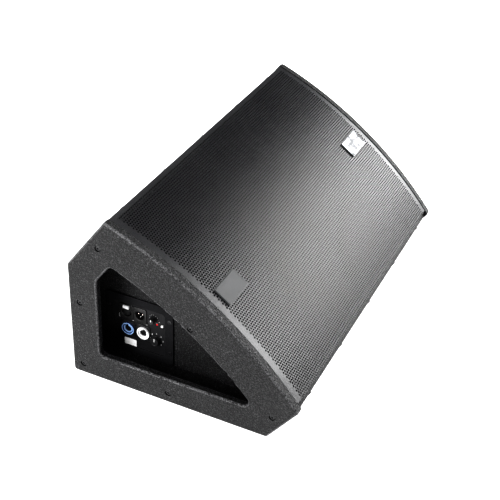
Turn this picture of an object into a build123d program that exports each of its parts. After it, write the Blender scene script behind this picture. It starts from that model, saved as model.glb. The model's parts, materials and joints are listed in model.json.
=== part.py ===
"""Active stage monitor wedge with a 15-inch coaxial driver, built piece by piece.

Width runs along X, the grille faces -Y and up, and +Z is up. The cabinet's cross-section is drawn in
"section" coordinates: u runs forward from the rear wall (towards -Y) and v runs up from the underside.
The amplifier sits in the open bay behind the end panel at -X.
"""
from math import cos, pi, radians, sin, tan
import os

from build123d import *

os.makedirs("parts", exist_ok=True)

# ---------------------------------------------------------------- cabinet sizes (mm, degrees)
width = 690.0  # over the two end panels
face_angle = 36.0  # slope of the grille when the cabinet lies on its underside
face_chord = 430.0  # grille height, measured straight across its curve
crown = 29.0  # rise of the curved grille above that straight line
top_facet = 126.0  # short face behind the grille's upper edge
lip_facet = 90.0  # short face under the grille's lower edge
corner_round = 6.0  # corners of the end panels' outline
end_thickness = 15.0
edge_round = 4.5  # rounded outer edges of the end panels
wall = 15.0
proud = 2.5  # end panels stand this far outside the walls
baffle_recess = 25.0  # baffle's front face below the grille's straight line
baffle_thickness = 18.0
bulkhead_thickness = 15.0
bay_depth = 69.5  # outer end face to the bulkhead
foot_height = 4.0
foot_radius = 14.0
foot_inset_x = 55.0  # foot centre from the outer end face
foot_inset = 48.0  # foot centre from the edges of its face

# hand hole in each end panel: margins to the outline
hole_rear_margin = 54.0
hole_floor_margin = 50.5
hole_facet_margin = 54.5
hole_face_margin = 73.0
hole_corner = 10.0
hole_round = 3.5

# ---------------------------------------------------------------- grille sizes
grille_thickness = 1.2
grille_inset = proud - grille_thickness  # grille's outer face below the end panels' edge
grille_flange = 18.0  # folded edge, from the straight line down the facets
grille_end_gap = 0.5
rim_depth = 6.0  # top and lip panels stop this far below the straight line
foam_thickness = 5.0
glue_line = 0.2  # between the grille and its foam
rib_thickness = 12.0
badge_length = 66.0
badge_height = 35.0
badge_thickness = 3.0
badge_from_end = 71.0  # badge centre to the outer end face

# ---------------------------------------------------------------- fasteners and fits
clearance = 0.3
hole_slack = 0.1
end_screw_radius = 2.5
end_screw_head = 4.75
end_screw_head_height = 3.2
end_screw_length = 32.0
end_screw_inset = 21.0
counterbore_radius = 5.5
counterbore_depth = 4.0
top_screw_drop = 7.0  # end screws below the baffle's rear face
lip_screw_drop = 4.0
rear_screw_height = 152.0
floor_screw_reach = 187.0
block_depth = 16.0
block_length = 25.0
block_width = 25.0
floor_block_height = 8.0
small_screw_radius = 2.0
small_screw_head = 4.0
small_screw_head_height = 1.2
small_screw_length = 14.0
driver_screw_radius = 3.0
driver_screw_head = 5.0
driver_screw_head_height = 6.0

# ---------------------------------------------------------------- 15-inch coaxial driver sizes
frame_radius = 194.0
frame_flange = 8.0
frame_seat = 173.0  # inside of the flange, where the surround is glued
baffle_hole = 178.0
bolt_circle = 185.5
bolt_count = 8
cone_radius = 150.0
cone_depth = 68.0
cone_thickness = 1.2
coil_radius = 37.7
former_thickness = 0.5
winding_thickness = 0.8
coil_overhang = 4.0  # winding past each face of the front plate
cone_top = 2.0  # cone's outer edge above the baffle's face
spider_drop = 14.0  # spider below the cone's neck
plate_drop = 8.0  # magnet's front plate below the spider
plate_thickness = 10.0
plate_radius = 84.0
gap_outside = 0.8
gap_inside = 1.1
magnet_radius = 70.0
magnet_bore = 50.0
magnet_thickness = 18.0
yoke_thickness = 12.0
pole_rise = 2.0  # pole stands this far above the front plate
throat_radius = 12.7
horn_radius = 62.0
horn_mouth = -26.0
hf_radius = 45.0
hf_plate = 6.0
hf_magnet_thickness = 10.0
hf_cap_depth = 16.0
hf_cavity = 28.0
dome_radius = 20.0
dome_sphere = 60.0  # curvature of the domed diaphragm
dome_thickness = 0.6
phase_gap = 1.0
port_radius = 34.0
port_wall = 3.0
port_flange = 43.0
port_length = 85.0
port_inset = 50.0  # port centre from the bulkhead and from the top panel

# ---------------------------------------------------------------- amplifier panel sizes
amp_centre = (95.0, 79.5)
amp_width = 132.0
amp_height = 122.0
amp_plate_thickness = 2.5
amp_corner = 8.0
gasket_thickness = 1.0
amp_screw_spacing = (119.0, 68.0)
window_width = 100.0
window_height = 91.0
fascia_lap = 2.0
fascia_thickness = 2.0
housing_wall = 1.5
housing_depth = 85.0
housing_gap = 2.0
board_thickness = 1.6
board_depth = 17.5  # fascia's rear face to the input board
main_board_gap = 14.4
connector_flange = (26.0, 31.0)
connector_flange_thickness = 2.0
connector_barrel = 11.5
input_at = (69.5, 106.0)
link_at = (96.0, 106.0)
mains_in_at = (72.5, 71.5)
mains_out_at = (102.5, 71.5)
level_at = (122.5, 108.0)
preset_at = (127.5, 65.0)
limit_lamp_at = (128.5, 98.0)
signal_lamp_at = (133.0, 101.5)
lift_at = (139.0, 96.0)
xlr_bore = 9.5
xlr_insert = 7.6
xlr_cup = 8.6
pin_radius = 1.2
pin_length = 12.0
latch_size = (12.0, 6.4)
latch_rise = 10.2
latch_travel = 2.0
mains_radius = 12.0
mains_wall = 2.2
mains_rise = 2.5
mains_insert = 6.4
level_radius = 6.0
level_height = 11.0
preset_radius = 8.5
preset_height = 9.0
shaft_radius = 3.0
lift_travel = 4.0
lamp_radius = 1.5

# ---------------------------------------------------------------- cross-section
slope = radians(face_angle)
down_face = Vector(cos(slope), -sin(slope))  # along the grille, from the top edge to the lip
out_face = Vector(sin(slope), cos(slope))  # square to the grille, outwards
rear_height = lip_facet * cos(slope) + face_chord * sin(slope) - top_facet * cos(slope)
base_length = top_facet * sin(slope) + face_chord * cos(slope) - lip_facet * sin(slope)
rear_foot = Vector(0, 0)
rear_shoulder = Vector(0, rear_height)
top_corner = rear_shoulder + out_face * top_facet
lip_corner = top_corner + down_face * face_chord
front_foot = Vector(base_length, 0)
face_middle = (top_corner + lip_corner) * 0.5
arc_radius = (face_chord**2 / 4 + crown**2) / (2 * crown)
arc_centre = face_middle + out_face * (crown - arc_radius)
inner = proud + wall  # inside face of the walls, from the outline
baffle_rear = baffle_recess + baffle_thickness
inner_half = width / 2 - end_thickness


def on_face(along, depth):
    """Section point at a distance down the grille's straight line and a depth below it."""
    return top_corner + down_face * along - out_face * depth


def inset_corners(inset):
    """Front foot, rear foot and rear shoulder of the section, moved inwards by inset."""
    slide = inset * (1 - sin(slope)) / cos(slope)
    front = front_foot + out_face * slide - down_face * inset
    return front, Vector(inset, inset), Vector(inset, rear_height - inset * tan(slope / 2))


def save(piece, label):
    """Label a finished piece and write it to its own file."""
    piece.part.label = label
    export_step(piece.part, f"parts/{label}.step")


with BuildSketch() as outline:
    with BuildLine():
        Polyline(lip_corner, front_foot, rear_foot, rear_shoulder, top_corner)
        ThreePointArc(top_corner, face_middle + out_face * crown, lip_corner)
    make_face()
    fillet(outline.vertices(), radius=corner_round)

front_reach = outline.sketch.bounding_box().max.X
section_origin = Vector(0, (front_reach - foot_height) / 2, foot_height)
section = Plane(origin=section_origin, x_dir=(0, -1, 0), z_dir=(-1, 0, 0))


def end_plane(depth):
    """Section plane a depth inside the outer end face at -X; it faces -X."""
    return section.offset(width / 2 - depth)


def in_space(point, x=0.0):
    """World position of a section point."""
    return section_origin + Vector(x, -point.X, point.Y)


# ---------------------------------------------------------------- end panels
end_screw_points = [
    on_face(end_screw_inset, baffle_rear + top_screw_drop),
    on_face(face_chord - end_screw_inset, baffle_rear + lip_screw_drop),
    on_face(face_chord / 2, baffle_recess + baffle_thickness / 2),
    Vector(end_screw_inset, rear_screw_height),
    Vector(end_screw_inset, end_screw_inset),
    Vector(floor_screw_reach, end_screw_inset),
]

with BuildSketch() as hand_hole:
    with Locations(arc_centre):
        Circle(arc_radius - hole_face_margin)
    with BuildSketch(mode=Mode.INTERSECT):
        facet_foot = rear_shoulder + down_face * hole_facet_margin
        facet_slide = (hole_rear_margin - facet_foot.X) / out_face.X
        facet_low = facet_foot + out_face * facet_slide
        facet_high = facet_low + out_face * top_facet
        with BuildLine():
            Polyline(
                (hole_rear_margin, hole_floor_margin),
                (base_length, hole_floor_margin),
                (base_length, facet_high.Y),
                facet_high,
                facet_low,
                close=True,
            )
        make_face()
    fillet(hand_hole.vertices(), radius=hole_corner)

with BuildPart() as end_panel_left:
    with BuildSketch(end_plane(end_thickness)):
        add(outline.sketch)
    extrude(amount=end_thickness)
    with BuildSketch(end_plane(0)):
        add(hand_hole.sketch)
    extrude(amount=-end_thickness, mode=Mode.SUBTRACT)
    outer_edges = end_panel_left.faces().sort_by(Axis.X)[0].edges()
    fillet(outer_edges, radius=edge_round)
    inner_wires = end_panel_left.faces().sort_by(Axis.X)[-1].inner_wires()
    fillet(inner_wires[0].edges(), radius=hole_round)
    with BuildSketch(end_plane(0)):
        with Locations(*end_screw_points):
            Circle(counterbore_radius)
    extrude(amount=-counterbore_depth, mode=Mode.SUBTRACT)
    with BuildSketch(end_plane(0)):
        with Locations(*end_screw_points):
            Circle(end_screw_radius + hole_slack)
    extrude(amount=-end_thickness, mode=Mode.SUBTRACT)

with BuildPart() as end_panel_right:
    mirror(end_panel_left.part, about=Plane.YZ)

with BuildPart() as end_panel_screws:
    with BuildSketch(end_plane(counterbore_depth)):
        with Locations(*end_screw_points):
            Circle(end_screw_head)
    extrude(amount=end_screw_head_height)
    fillet(end_panel_screws.faces().group_by(Axis.X)[0].edges(), radius=1.0)
    with BuildSketch(end_plane(counterbore_depth)):
        with Locations(*end_screw_points):
            Circle(end_screw_radius)
    extrude(amount=-end_screw_length)
    with BuildSketch(end_plane(counterbore_depth - end_screw_head_height)):
        with Locations(*end_screw_points):
            RegularPolygon(radius=2.3, side_count=6)
    extrude(amount=-2.0, mode=Mode.SUBTRACT)
    mirror(about=Plane.YZ)

# ---------------------------------------------------------------- walls
front_outer, rear_outer, shoulder_outer = inset_corners(proud)
front_inner, rear_inner, shoulder_inner = inset_corners(inner)


def wall_panel(*corners):
    """One full-length wall between the end panels, from its four section corners."""
    with BuildPart() as panel:
        with BuildSketch(section):
            with BuildLine():
                Polyline(*corners, close=True)
            make_face()
        extrude(amount=inner_half, both=True)
    return panel


rear_panel = wall_panel(rear_outer, shoulder_outer, shoulder_inner, rear_inner)
bottom_panel = wall_panel(rear_outer, front_outer, front_inner, rear_inner)
top_panel = wall_panel(
    shoulder_outer, on_face(proud, rim_depth), on_face(inner, rim_depth), shoulder_inner
)
front_lip = wall_panel(
    front_outer,
    on_face(face_chord - proud, rim_depth),
    on_face(face_chord - inner, rim_depth),
    front_inner,
)

# rubber feet on the underside and on the rear wall, so that the wedge works at both angles
foot_x = width / 2 - foot_inset_x
underside = Plane(origin=section_origin + Vector(0, 0, proud), x_dir=(1, 0, 0), z_dir=(0, 0, -1))
behind = Plane(origin=section_origin - Vector(0, proud, 0), x_dir=(1, 0, 0), z_dir=(0, 1, 0))
floor_feet = [(x, u) for x in (-foot_x, foot_x) for u in (foot_inset, base_length - foot_inset)]
wall_feet = [(x, -v) for x in (-foot_x, foot_x) for v in (foot_inset, rear_height - foot_inset)]
foot_depth = proud + foot_height
foot_recess = 2.5
foot_faces = ((underside, floor_feet), (behind, wall_feet))


def drill(face, points, radius, depth):
    """Round holes square into a face, made in the piece that is being built."""
    with BuildSketch(face) as holes:
        with Locations(*points):
            Circle(radius)
    extrude(holes.sketch, amount=-depth, mode=Mode.SUBTRACT)


with BuildPart() as bottom_board:
    add(bottom_panel.part)
    drill(underside, floor_feet, small_screw_radius + hole_slack, small_screw_length)

with BuildPart() as rear_board:
    add(rear_panel.part)
    drill(behind, wall_feet, small_screw_radius + hole_slack, small_screw_length)

with BuildPart() as rubber_feet:
    for face, points in foot_faces:
        with BuildSketch(face):
            with Locations(*points):
                Circle(foot_radius)
        extrude(amount=foot_depth, taper=8)
        drill(face.offset(foot_depth), points, small_screw_head + clearance, foot_recess)
        drill(face.offset(foot_depth), points, small_screw_radius + hole_slack, foot_depth)

# ---------------------------------------------------------------- glue blocks that take the end screws
across = Vector(1, 0)
upward = Vector(0, 1)
block_sides = (
    (on_face(inner, baffle_rear), down_face * block_depth, -out_face * block_width),
    (on_face(face_chord - inner, baffle_rear), -down_face * block_depth, -out_face * block_width),
    (Vector(inner, rear_screw_height - block_width / 2), across * block_depth, upward * block_width),
    (Vector(inner, inner), across * block_depth, upward * block_depth),
    (Vector(floor_screw_reach - block_width / 2, inner), across * block_width, upward * floor_block_height),
)

with BuildPart() as corner_blocks:
    with BuildSketch(end_plane(end_thickness)):
        for corner, first, second in block_sides:
            with BuildLine():
                Polyline(corner, corner + first, corner + first + second, corner + second, close=True)
            make_face()
    extrude(amount=-block_length)
    drill(end_plane(end_thickness), end_screw_points, end_screw_radius + hole_slack, block_length)
    mirror(about=Plane.YZ)

# ---------------------------------------------------------------- baffle and bulkheads
driver_centre = in_space(on_face(face_chord / 2, baffle_recess))
driver = Plane(origin=driver_centre, x_dir=(1, 0, 0), z_dir=(0, -sin(slope), cos(slope)))
driver_axis = Axis(driver_centre, driver.z_dir)
driver_section = Plane(origin=driver_centre, x_dir=(1, 0, 0), z_dir=(0, -cos(slope), -sin(slope)))
chamber_half = width / 2 - bay_depth - bulkhead_thickness
port_x = chamber_half - port_inset
port_y = face_chord / 2 - inner - port_inset
port_points = [(-port_x, port_y), (port_x, port_y)]
bolt_angles = [radians(22.5 + 360 / bolt_count * i) for i in range(bolt_count)]
bolt_points = [(bolt_circle * cos(angle), bolt_circle * sin(angle)) for angle in bolt_angles]

with BuildPart() as baffle_board:
    with BuildSketch(driver):
        Rectangle(2 * inner_half, face_chord - 2 * inner)
        Circle(baffle_hole, mode=Mode.SUBTRACT)
        with Locations(*port_points):
            Circle(port_radius + port_wall + hole_slack, mode=Mode.SUBTRACT)
        with Locations(*bolt_points):
            Circle(driver_screw_radius + hole_slack, mode=Mode.SUBTRACT)
    extrude(amount=-baffle_thickness)
    middle_screw = [end_screw_points[2]]
    drill(end_plane(end_thickness), middle_screw, end_screw_radius + hole_slack, block_length)
    drill(end_plane(width - end_thickness), middle_screw, end_screw_radius + hole_slack, -block_length)


def bulkhead_board():
    """Bulkhead at -X: closes the driver's chamber off from the open bay."""
    with BuildPart() as board:
        with BuildSketch(end_plane(bay_depth)):
            with BuildLine():
                Polyline(
                    on_face(inner, baffle_rear),
                    on_face(face_chord - inner, baffle_rear),
                    front_inner,
                    rear_inner,
                    shoulder_inner,
                    close=True,
                )
            make_face()
        extrude(amount=-bulkhead_thickness)
    return board


plain_bulkhead = bulkhead_board()
opening_width = window_width + 2 * fascia_lap + 2 * (housing_gap + housing_wall)
opening_height = window_height + 2 * fascia_lap + 2 * (housing_gap + housing_wall)
screw_u = amp_screw_spacing[0] / 2
screw_v = amp_screw_spacing[1] / 2
amp_screw_points = [
    (amp_centre[0] + i * screw_u, amp_centre[1] + j * screw_v) for i in (-1, 1) for j in (-1, 1)
]

with BuildPart() as bulkhead_left:
    add(plain_bulkhead.part)
    with BuildSketch(end_plane(bay_depth)):
        with Locations(amp_centre):
            Rectangle(opening_width, opening_height)
    extrude(amount=-bulkhead_thickness, mode=Mode.SUBTRACT)
    drill(end_plane(bay_depth), amp_screw_points, small_screw_radius + hole_slack, small_screw_length)

with BuildPart() as bulkhead_right:
    mirror(plain_bulkhead.part, about=Plane.YZ)

with BuildPart() as grille_ribs:
    with BuildSketch(end_plane(end_thickness)):
        offset(outline.sketch, amount=-proud)
        with BuildSketch(mode=Mode.INTERSECT):
            with BuildLine():
                Polyline(
                    on_face(inner, baffle_recess),
                    on_face(face_chord - inner, baffle_recess),
                    on_face(face_chord - inner, -crown),
                    on_face(inner, -crown),
                    close=True,
                )
            make_face()
    extrude(amount=-rib_thickness)
    mirror(about=Plane.YZ)

# ---------------------------------------------------------------- curved grille, its foam and badges
flange_level = grille_flange - 6.0
grille_screw_x = [-280.0, -140.0, 0.0, 140.0, 280.0]
grille_screw_points = [(x, 0) for x in grille_screw_x]
top_flange = Plane(
    origin=in_space(on_face(grille_inset, flange_level)), x_dir=(1, 0, 0), z_dir=(0, cos(slope), sin(slope))
)
lip_flange = Plane(
    origin=in_space(on_face(face_chord - grille_inset, flange_level)),
    x_dir=(1, 0, 0),
    z_dir=(0, -cos(slope), -sin(slope)),
)
m4_hole = small_screw_radius + hole_slack

with BuildPart() as top_board:
    add(top_panel.part)
    drill(top_flange, grille_screw_points, m4_hole, small_screw_length)

with BuildPart() as lip_board:
    add(front_lip.part)
    drill(lip_flange, grille_screw_points, m4_hole, small_screw_length)

with BuildPart() as grille:
    with BuildSketch(section):
        offset(outline.sketch, amount=-grille_inset)
        with BuildSketch(mode=Mode.SUBTRACT):
            offset(outline.sketch, amount=-proud)
        with BuildSketch(mode=Mode.INTERSECT):
            with BuildLine():
                Polyline(
                    on_face(-top_facet, grille_flange),
                    on_face(face_chord + top_facet, grille_flange),
                    on_face(face_chord + top_facet, -2 * crown),
                    on_face(-top_facet, -2 * crown),
                    close=True,
                )
            make_face()
    extrude(amount=inner_half - grille_end_gap, both=True)
    drill(top_flange, grille_screw_points, m4_hole, grille_thickness)
    drill(lip_flange, grille_screw_points, m4_hole, grille_thickness)

with BuildPart() as grille_foam:
    with BuildSketch(section):
        offset(outline.sketch, amount=-proud - glue_line)
        with BuildSketch(mode=Mode.SUBTRACT):
            offset(outline.sketch, amount=-proud - glue_line - foam_thickness)
        with BuildSketch(mode=Mode.INTERSECT):
            with BuildLine():
                Polyline(
                    on_face(inner + clearance, baffle_recess),
                    on_face(face_chord - inner - clearance, baffle_recess),
                    on_face(face_chord - inner - clearance, -2 * crown),
                    on_face(inner + clearance, -2 * crown),
                    close=True,
                )
            make_face()
    extrude(amount=inner_half - rib_thickness - clearance, both=True)

badge_x = width / 2 - badge_from_end
crest_point = in_space(face_middle + out_face * (crown - grille_inset))
grille_crest = Plane(origin=crest_point, x_dir=(1, 0, 0), z_dir=driver.z_dir)

with BuildPart() as badges:
    with BuildSketch(grille_crest):
        with Locations((-badge_x, 0), (badge_x, 0)):
            RectangleRounded(badge_length, badge_height, 1.5)
    extrude(amount=badge_thickness)

# ---------------------------------------------------------------- coaxial driver
def turned(*points):
    """Piece turned about the driver's axis from (radius, level) points; levels rise towards the grille."""
    with BuildPart() as piece:
        with BuildSketch(driver_section):
            with BuildLine():
                Polyline(*points, close=True)
            make_face()
        revolve(axis=driver_axis)
    return piece


cone_neck = cone_top - cone_depth
spider_level = cone_neck - spider_drop
plate_front = spider_level - plate_drop
plate_back = plate_front - plate_thickness
seat_radius = plate_radius + 6.0
yoke_front = plate_back - magnet_thickness
yoke_back = yoke_front - yoke_thickness
former_radius = coil_radius + former_thickness
winding_radius = former_radius + winding_thickness
surround_ledge = frame_seat - 10.0
spider_seat = plate_radius - 8.0

frame_shell = turned(
    (frame_radius, 0),
    (frame_radius, frame_flange),
    (frame_seat, frame_flange),
    (frame_seat, 4),
    (surround_ledge, 4),
    (surround_ledge - 3, 0),
    (plate_radius, spider_level + 6),
    (plate_radius, spider_level),
    (spider_seat, spider_level),
    (spider_seat, plate_front),
    (seat_radius, plate_front),
    (seat_radius, spider_level + 2),
    (baffle_hole - 10, -4),
    (baffle_hole - 2, 0),
)
window_middle = (surround_ledge + seat_radius) / 2
window_reach = surround_ledge - seat_radius - 14.0

with BuildPart() as woofer_frame:
    add(frame_shell.part)
    with BuildSketch(driver):
        with PolarLocations(window_middle, bolt_count, start_angle=22.5):
            Trapezoid(window_reach, window_reach, 80, rotation=90)
    extrude(amount=spider_level + 4, mode=Mode.SUBTRACT)
    drill(driver.offset(frame_flange), bolt_points, driver_screw_radius + clearance, frame_flange)

woofer_gasket = turned(
    (frame_seat + 1, frame_flange),
    (frame_seat + 1, frame_flange + 2),
    (bolt_circle - 6, frame_flange + 2),
    (bolt_circle - 6, frame_flange),
)
woofer_cone = turned(
    (former_radius, cone_neck - 1.5 * cone_thickness),
    (former_radius, cone_neck),
    (cone_radius - 3, cone_top),
    (cone_radius, cone_top),
    (cone_radius, cone_top - cone_thickness),
    (cone_radius - 2.5, cone_top - cone_thickness),
)
voice_coil = turned(
    (coil_radius, cone_neck - 2),
    (coil_radius, cone_neck + 1),
    (former_radius, cone_neck + 1),
    (former_radius, plate_front + coil_overhang),
    (winding_radius, plate_front + coil_overhang),
    (winding_radius, plate_back - coil_overhang),
    (coil_radius, plate_back - coil_overhang),
)
roll_start = cone_radius + 4.0
roll_end = surround_ledge + 1.0
roll_middle = (roll_start + roll_end) / 2
roll_height = 7.0

with BuildPart() as woofer_surround:
    with BuildSketch(driver_section):
        with BuildLine():
            Polyline((roll_end, 5), (frame_seat, 5), (frame_seat, 4), (roll_end - 1, 4))
            ThreePointArc((roll_end - 1, 4), (roll_middle, roll_height), (roll_start + 1, 1))
            Polyline(
                (roll_start + 1, 1), (cone_radius + 0.6, 1), (cone_radius + 0.6, 2), (roll_start, 2)
            )
            ThreePointArc((roll_start, 2), (roll_middle, roll_height + 1.2), (roll_end, 5))
        make_face()
    revolve(axis=driver_axis)

spider_bore = winding_radius + 2 * clearance
woofer_spider = turned(
    (spider_bore, spider_level),
    (spider_bore, spider_level + 0.8),
    (46, spider_level + 0.8),
    (49, spider_level + 2),
    (52, spider_level + 0.8),
    (55, spider_level - 0.4),
    (58, spider_level + 0.8),
    (61, spider_level + 2),
    (64, spider_level + 0.8),
    (67, spider_level - 0.4),
    (70, spider_level + 0.8),
    (plate_radius, spider_level + 0.8),
    (plate_radius, spider_level),
    (70, spider_level),
    (67, spider_level - 1.2),
    (64, spider_level),
    (61, spider_level + 1.2),
    (58, spider_level),
    (55, spider_level - 1.2),
    (52, spider_level),
    (49, spider_level + 1.2),
    (46, spider_level),
)
gap_outer_radius = winding_radius + gap_outside
pole_radius = coil_radius - gap_inside
motor_front_plate = turned(
    (gap_outer_radius, plate_front),
    (plate_radius, plate_front),
    (plate_radius, plate_back),
    (gap_outer_radius, plate_back),
)
woofer_magnet = turned(
    (magnet_bore, plate_back),
    (magnet_radius, plate_back),
    (magnet_radius, yoke_front),
    (magnet_bore, yoke_front),
)
motor_yoke = turned(
    (throat_radius, plate_front + pole_rise),
    (pole_radius, plate_front + pole_rise),
    (pole_radius, yoke_front),
    (plate_radius - 4, yoke_front),
    (plate_radius - 4, yoke_back + 3),
    (plate_radius - 7, yoke_back),
    (throat_radius, yoke_back),
)
horn_base = plate_front + pole_rise
stem_radius = pole_radius - 2.0

with BuildPart() as hf_horn:
    with BuildSketch(driver_section):
        with BuildLine():
            Line((throat_radius, horn_base), (stem_radius, horn_base))
            Line((stem_radius, horn_base), (stem_radius, cone_neck + 4))
            ThreePointArc((stem_radius, cone_neck + 4), (44, -46), (horn_radius, horn_mouth))
            Line((horn_radius, horn_mouth), (horn_radius - 3, horn_mouth + 1))
            ThreePointArc((horn_radius - 3, horn_mouth + 1), (30, -48), (throat_radius, horn_base))
        make_face()
    revolve(axis=driver_axis)

hf_front = yoke_back - hf_plate
hf_back = hf_front - hf_magnet_thickness
plug_top = hf_front - 4.0
hf_motor = turned(
    (throat_radius, yoke_back),
    (hf_radius, yoke_back),
    (hf_radius, hf_back),
    (hf_cavity, hf_back),
    (hf_cavity, plug_top),
    (throat_radius, plug_top),
)
dome_level = hf_back - 1.0
dome_base = dome_level - dome_thickness
dome_centre = (0, dome_level - (dome_sphere**2 - dome_radius**2) ** 0.5)

with BuildPart() as hf_phase_plug:
    with BuildSketch(driver_section):
        with Locations((0, dome_level)):
            Rectangle(dome_radius, plug_top - dome_level, align=(Align.MIN, Align.MIN))
        with Locations(dome_centre):
            Circle(dome_sphere + phase_gap, mode=Mode.SUBTRACT)
    revolve(axis=driver_axis)
    with BuildSketch(driver.offset(plug_top)):
        Circle(11)
        Circle(9.6, mode=Mode.SUBTRACT)
        Rectangle(4, 30, mode=Mode.SUBTRACT)
    extrude(amount=-hf_magnet_thickness, mode=Mode.SUBTRACT)

with BuildPart() as hf_diaphragm:
    with BuildSketch(driver_section):
        with Locations(dome_centre):
            Circle(dome_sphere)
            Circle(dome_sphere - dome_thickness, mode=Mode.SUBTRACT)
        with Locations((0, dome_base)):
            Rectangle(dome_radius, hf_magnet_thickness, align=(Align.MIN, Align.MIN), mode=Mode.INTERSECT)
        with Locations((dome_radius, dome_base)):
            Rectangle(hf_cavity - clearance - dome_radius, dome_thickness, align=(Align.MIN, Align.MIN))
    revolve(axis=driver_axis)

hf_end = hf_back - hf_cap_depth
hf_cap = turned(
    (hf_cavity, hf_back),
    (hf_radius, hf_back),
    (hf_radius, hf_end + 4),
    (hf_radius - 4, hf_end),
    (0, hf_end),
    (0, hf_end + 3),
    (hf_cavity, hf_end + 3),
)

with BuildPart() as woofer_screws:
    with BuildSketch(driver.offset(frame_flange)):
        with Locations(*bolt_points):
            Circle(driver_screw_head)
    extrude(amount=driver_screw_head_height)
    drill(driver.offset(frame_flange + driver_screw_head_height), bolt_points, 2.5, 3.0)
    with BuildSketch(driver.offset(frame_flange)):
        with Locations(*bolt_points):
            Circle(driver_screw_radius)
    extrude(amount=-frame_flange - baffle_thickness)

with BuildPart() as port_tubes:
    with BuildSketch(driver):
        with Locations(*port_points):
            Circle(port_flange)
            Circle(port_radius, mode=Mode.SUBTRACT)
    extrude(amount=port_wall)
    with BuildSketch(driver):
        with Locations(*port_points):
            Circle(port_radius + port_wall)
            Circle(port_radius, mode=Mode.SUBTRACT)
    extrude(amount=-port_length)

pad_thickness = 15.0
pad_low = 42.0
pad_high = 172.0
with BuildPart() as damping_pads:
    with BuildSketch(section):
        with Locations((inner + pad_thickness / 2, (pad_low + pad_high) / 2)):
            Rectangle(pad_thickness, pad_high - pad_low)
        with Locations((base_length - 70, inner + pad_thickness / 2)):
            Rectangle(60, pad_thickness)
    extrude(amount=chamber_half - 8, both=True)

# ---------------------------------------------------------------- amplifier panel in the left bay
fascia_depth = bay_depth - gasket_thickness
plate_depth = fascia_depth - amp_plate_thickness
flange_depth = fascia_depth - connector_flange_thickness
fascia_rear = fascia_depth + fascia_thickness
input_board_depth = fascia_rear + board_depth
main_board_depth = input_board_depth + board_thickness + main_board_gap
housing_end = fascia_depth + housing_depth + fascia_thickness
fascia_width = window_width + 2 * fascia_lap
fascia_height = window_height + 2 * fascia_lap
housing_width = fascia_width + 2 * housing_wall
housing_height = fascia_height + 2 * housing_wall

with BuildPart() as amp_plate:
    with BuildSketch(end_plane(plate_depth)):
        with Locations(amp_centre):
            RectangleRounded(amp_width, amp_height, amp_corner)
            RectangleRounded(window_width, window_height, amp_corner - 2, mode=Mode.SUBTRACT)
    extrude(amount=-amp_plate_thickness)
    drill(end_plane(plate_depth), amp_screw_points, m4_hole, amp_plate_thickness)

with BuildPart() as amp_gasket:
    with BuildSketch(end_plane(fascia_depth)):
        with Locations(amp_centre):
            RectangleRounded(amp_width - 4, amp_height - 4, amp_corner - 2)
            Rectangle(opening_width, opening_height, mode=Mode.SUBTRACT)
        with Locations(*amp_screw_points):
            Circle(m4_hole, mode=Mode.SUBTRACT)
    extrude(amount=-gasket_thickness)

# every M4 x 14 screw is the same: feet, grille flanges and amplifier plate
screw_sites = [(face.offset(foot_depth - foot_recess), points) for face, points in foot_faces]
screw_sites += [(top_flange, grille_screw_points), (lip_flange, grille_screw_points)]
screw_sites += [(end_plane(plate_depth), amp_screw_points)]

with BuildPart() as m4_screws:
    for face, points in screw_sites:
        with BuildSketch(face):
            with Locations(*points):
                Circle(small_screw_head)
        extrude(amount=small_screw_head_height)
        with BuildSketch(face):
            with Locations(*points):
                Circle(small_screw_radius)
        extrude(amount=-small_screw_length + 0.5)

shaft_hole = shaft_radius + clearance
lift_slot = (4.0 + 2 * clearance, 4.0 + lift_travel + 2 * clearance)
lamp_points = [limit_lamp_at, signal_lamp_at]
latch_at = (input_at[0], input_at[1] + latch_rise)

with BuildPart() as amp_fascia:
    with BuildSketch(end_plane(fascia_depth)):
        with Locations(amp_centre):
            Rectangle(fascia_width, fascia_height)
        with Locations(input_at, link_at):
            Circle(connector_barrel + clearance, mode=Mode.SUBTRACT)
        with Locations(latch_at):
            Rectangle(latch_size[0] + 4 * clearance, latch_size[1] + 4 * clearance, mode=Mode.SUBTRACT)
        with Locations(mains_in_at, mains_out_at):
            Circle(mains_radius + clearance, mode=Mode.SUBTRACT)
        with Locations(level_at, preset_at):
            Circle(shaft_hole, mode=Mode.SUBTRACT)
        with Locations(lift_at):
            Rectangle(*lift_slot, mode=Mode.SUBTRACT)
        with Locations(*lamp_points):
            Circle(lamp_radius + hole_slack, mode=Mode.SUBTRACT)
    extrude(amount=-fascia_thickness)

with BuildPart() as amp_housing:
    with BuildSketch(end_plane(fascia_depth)):
        with Locations(amp_centre):
            Rectangle(housing_width, housing_height)
    extrude(amount=fascia_depth - housing_end)
    with BuildSketch(end_plane(fascia_depth)):
        with Locations(amp_centre):
            Rectangle(fascia_width, fascia_height)
    extrude(amount=fascia_depth - housing_end + housing_wall, mode=Mode.SUBTRACT)
    gland_points = [(amp_centre[0], amp_centre[1] + 14), (amp_centre[0], amp_centre[1] - 14)]
    drill(end_plane(housing_end - housing_wall), gland_points, 3.6, housing_wall)

pin_points = [(3.6, 1.4), (-3.6, 1.4), (0, -3.8)]


def beside(centre, offsets):
    """Points laid out about a centre."""
    return [(centre[0] + du, centre[1] + dv) for du, dv in offsets]


def connector_block(centre):
    """Square flange in front of the fascia and a round barrel through it to the input board."""
    with BuildPart() as block:
        with BuildSketch(end_plane(fascia_depth)):
            with Locations(centre):
                RectangleRounded(*connector_flange, 3)
        extrude(amount=connector_flange_thickness)
        with BuildSketch(end_plane(fascia_depth)):
            with Locations(centre):
                Circle(connector_barrel)
        extrude(amount=fascia_depth - input_board_depth)
    return block


input_block = connector_block(input_at)
link_block = connector_block(link_at)

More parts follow.
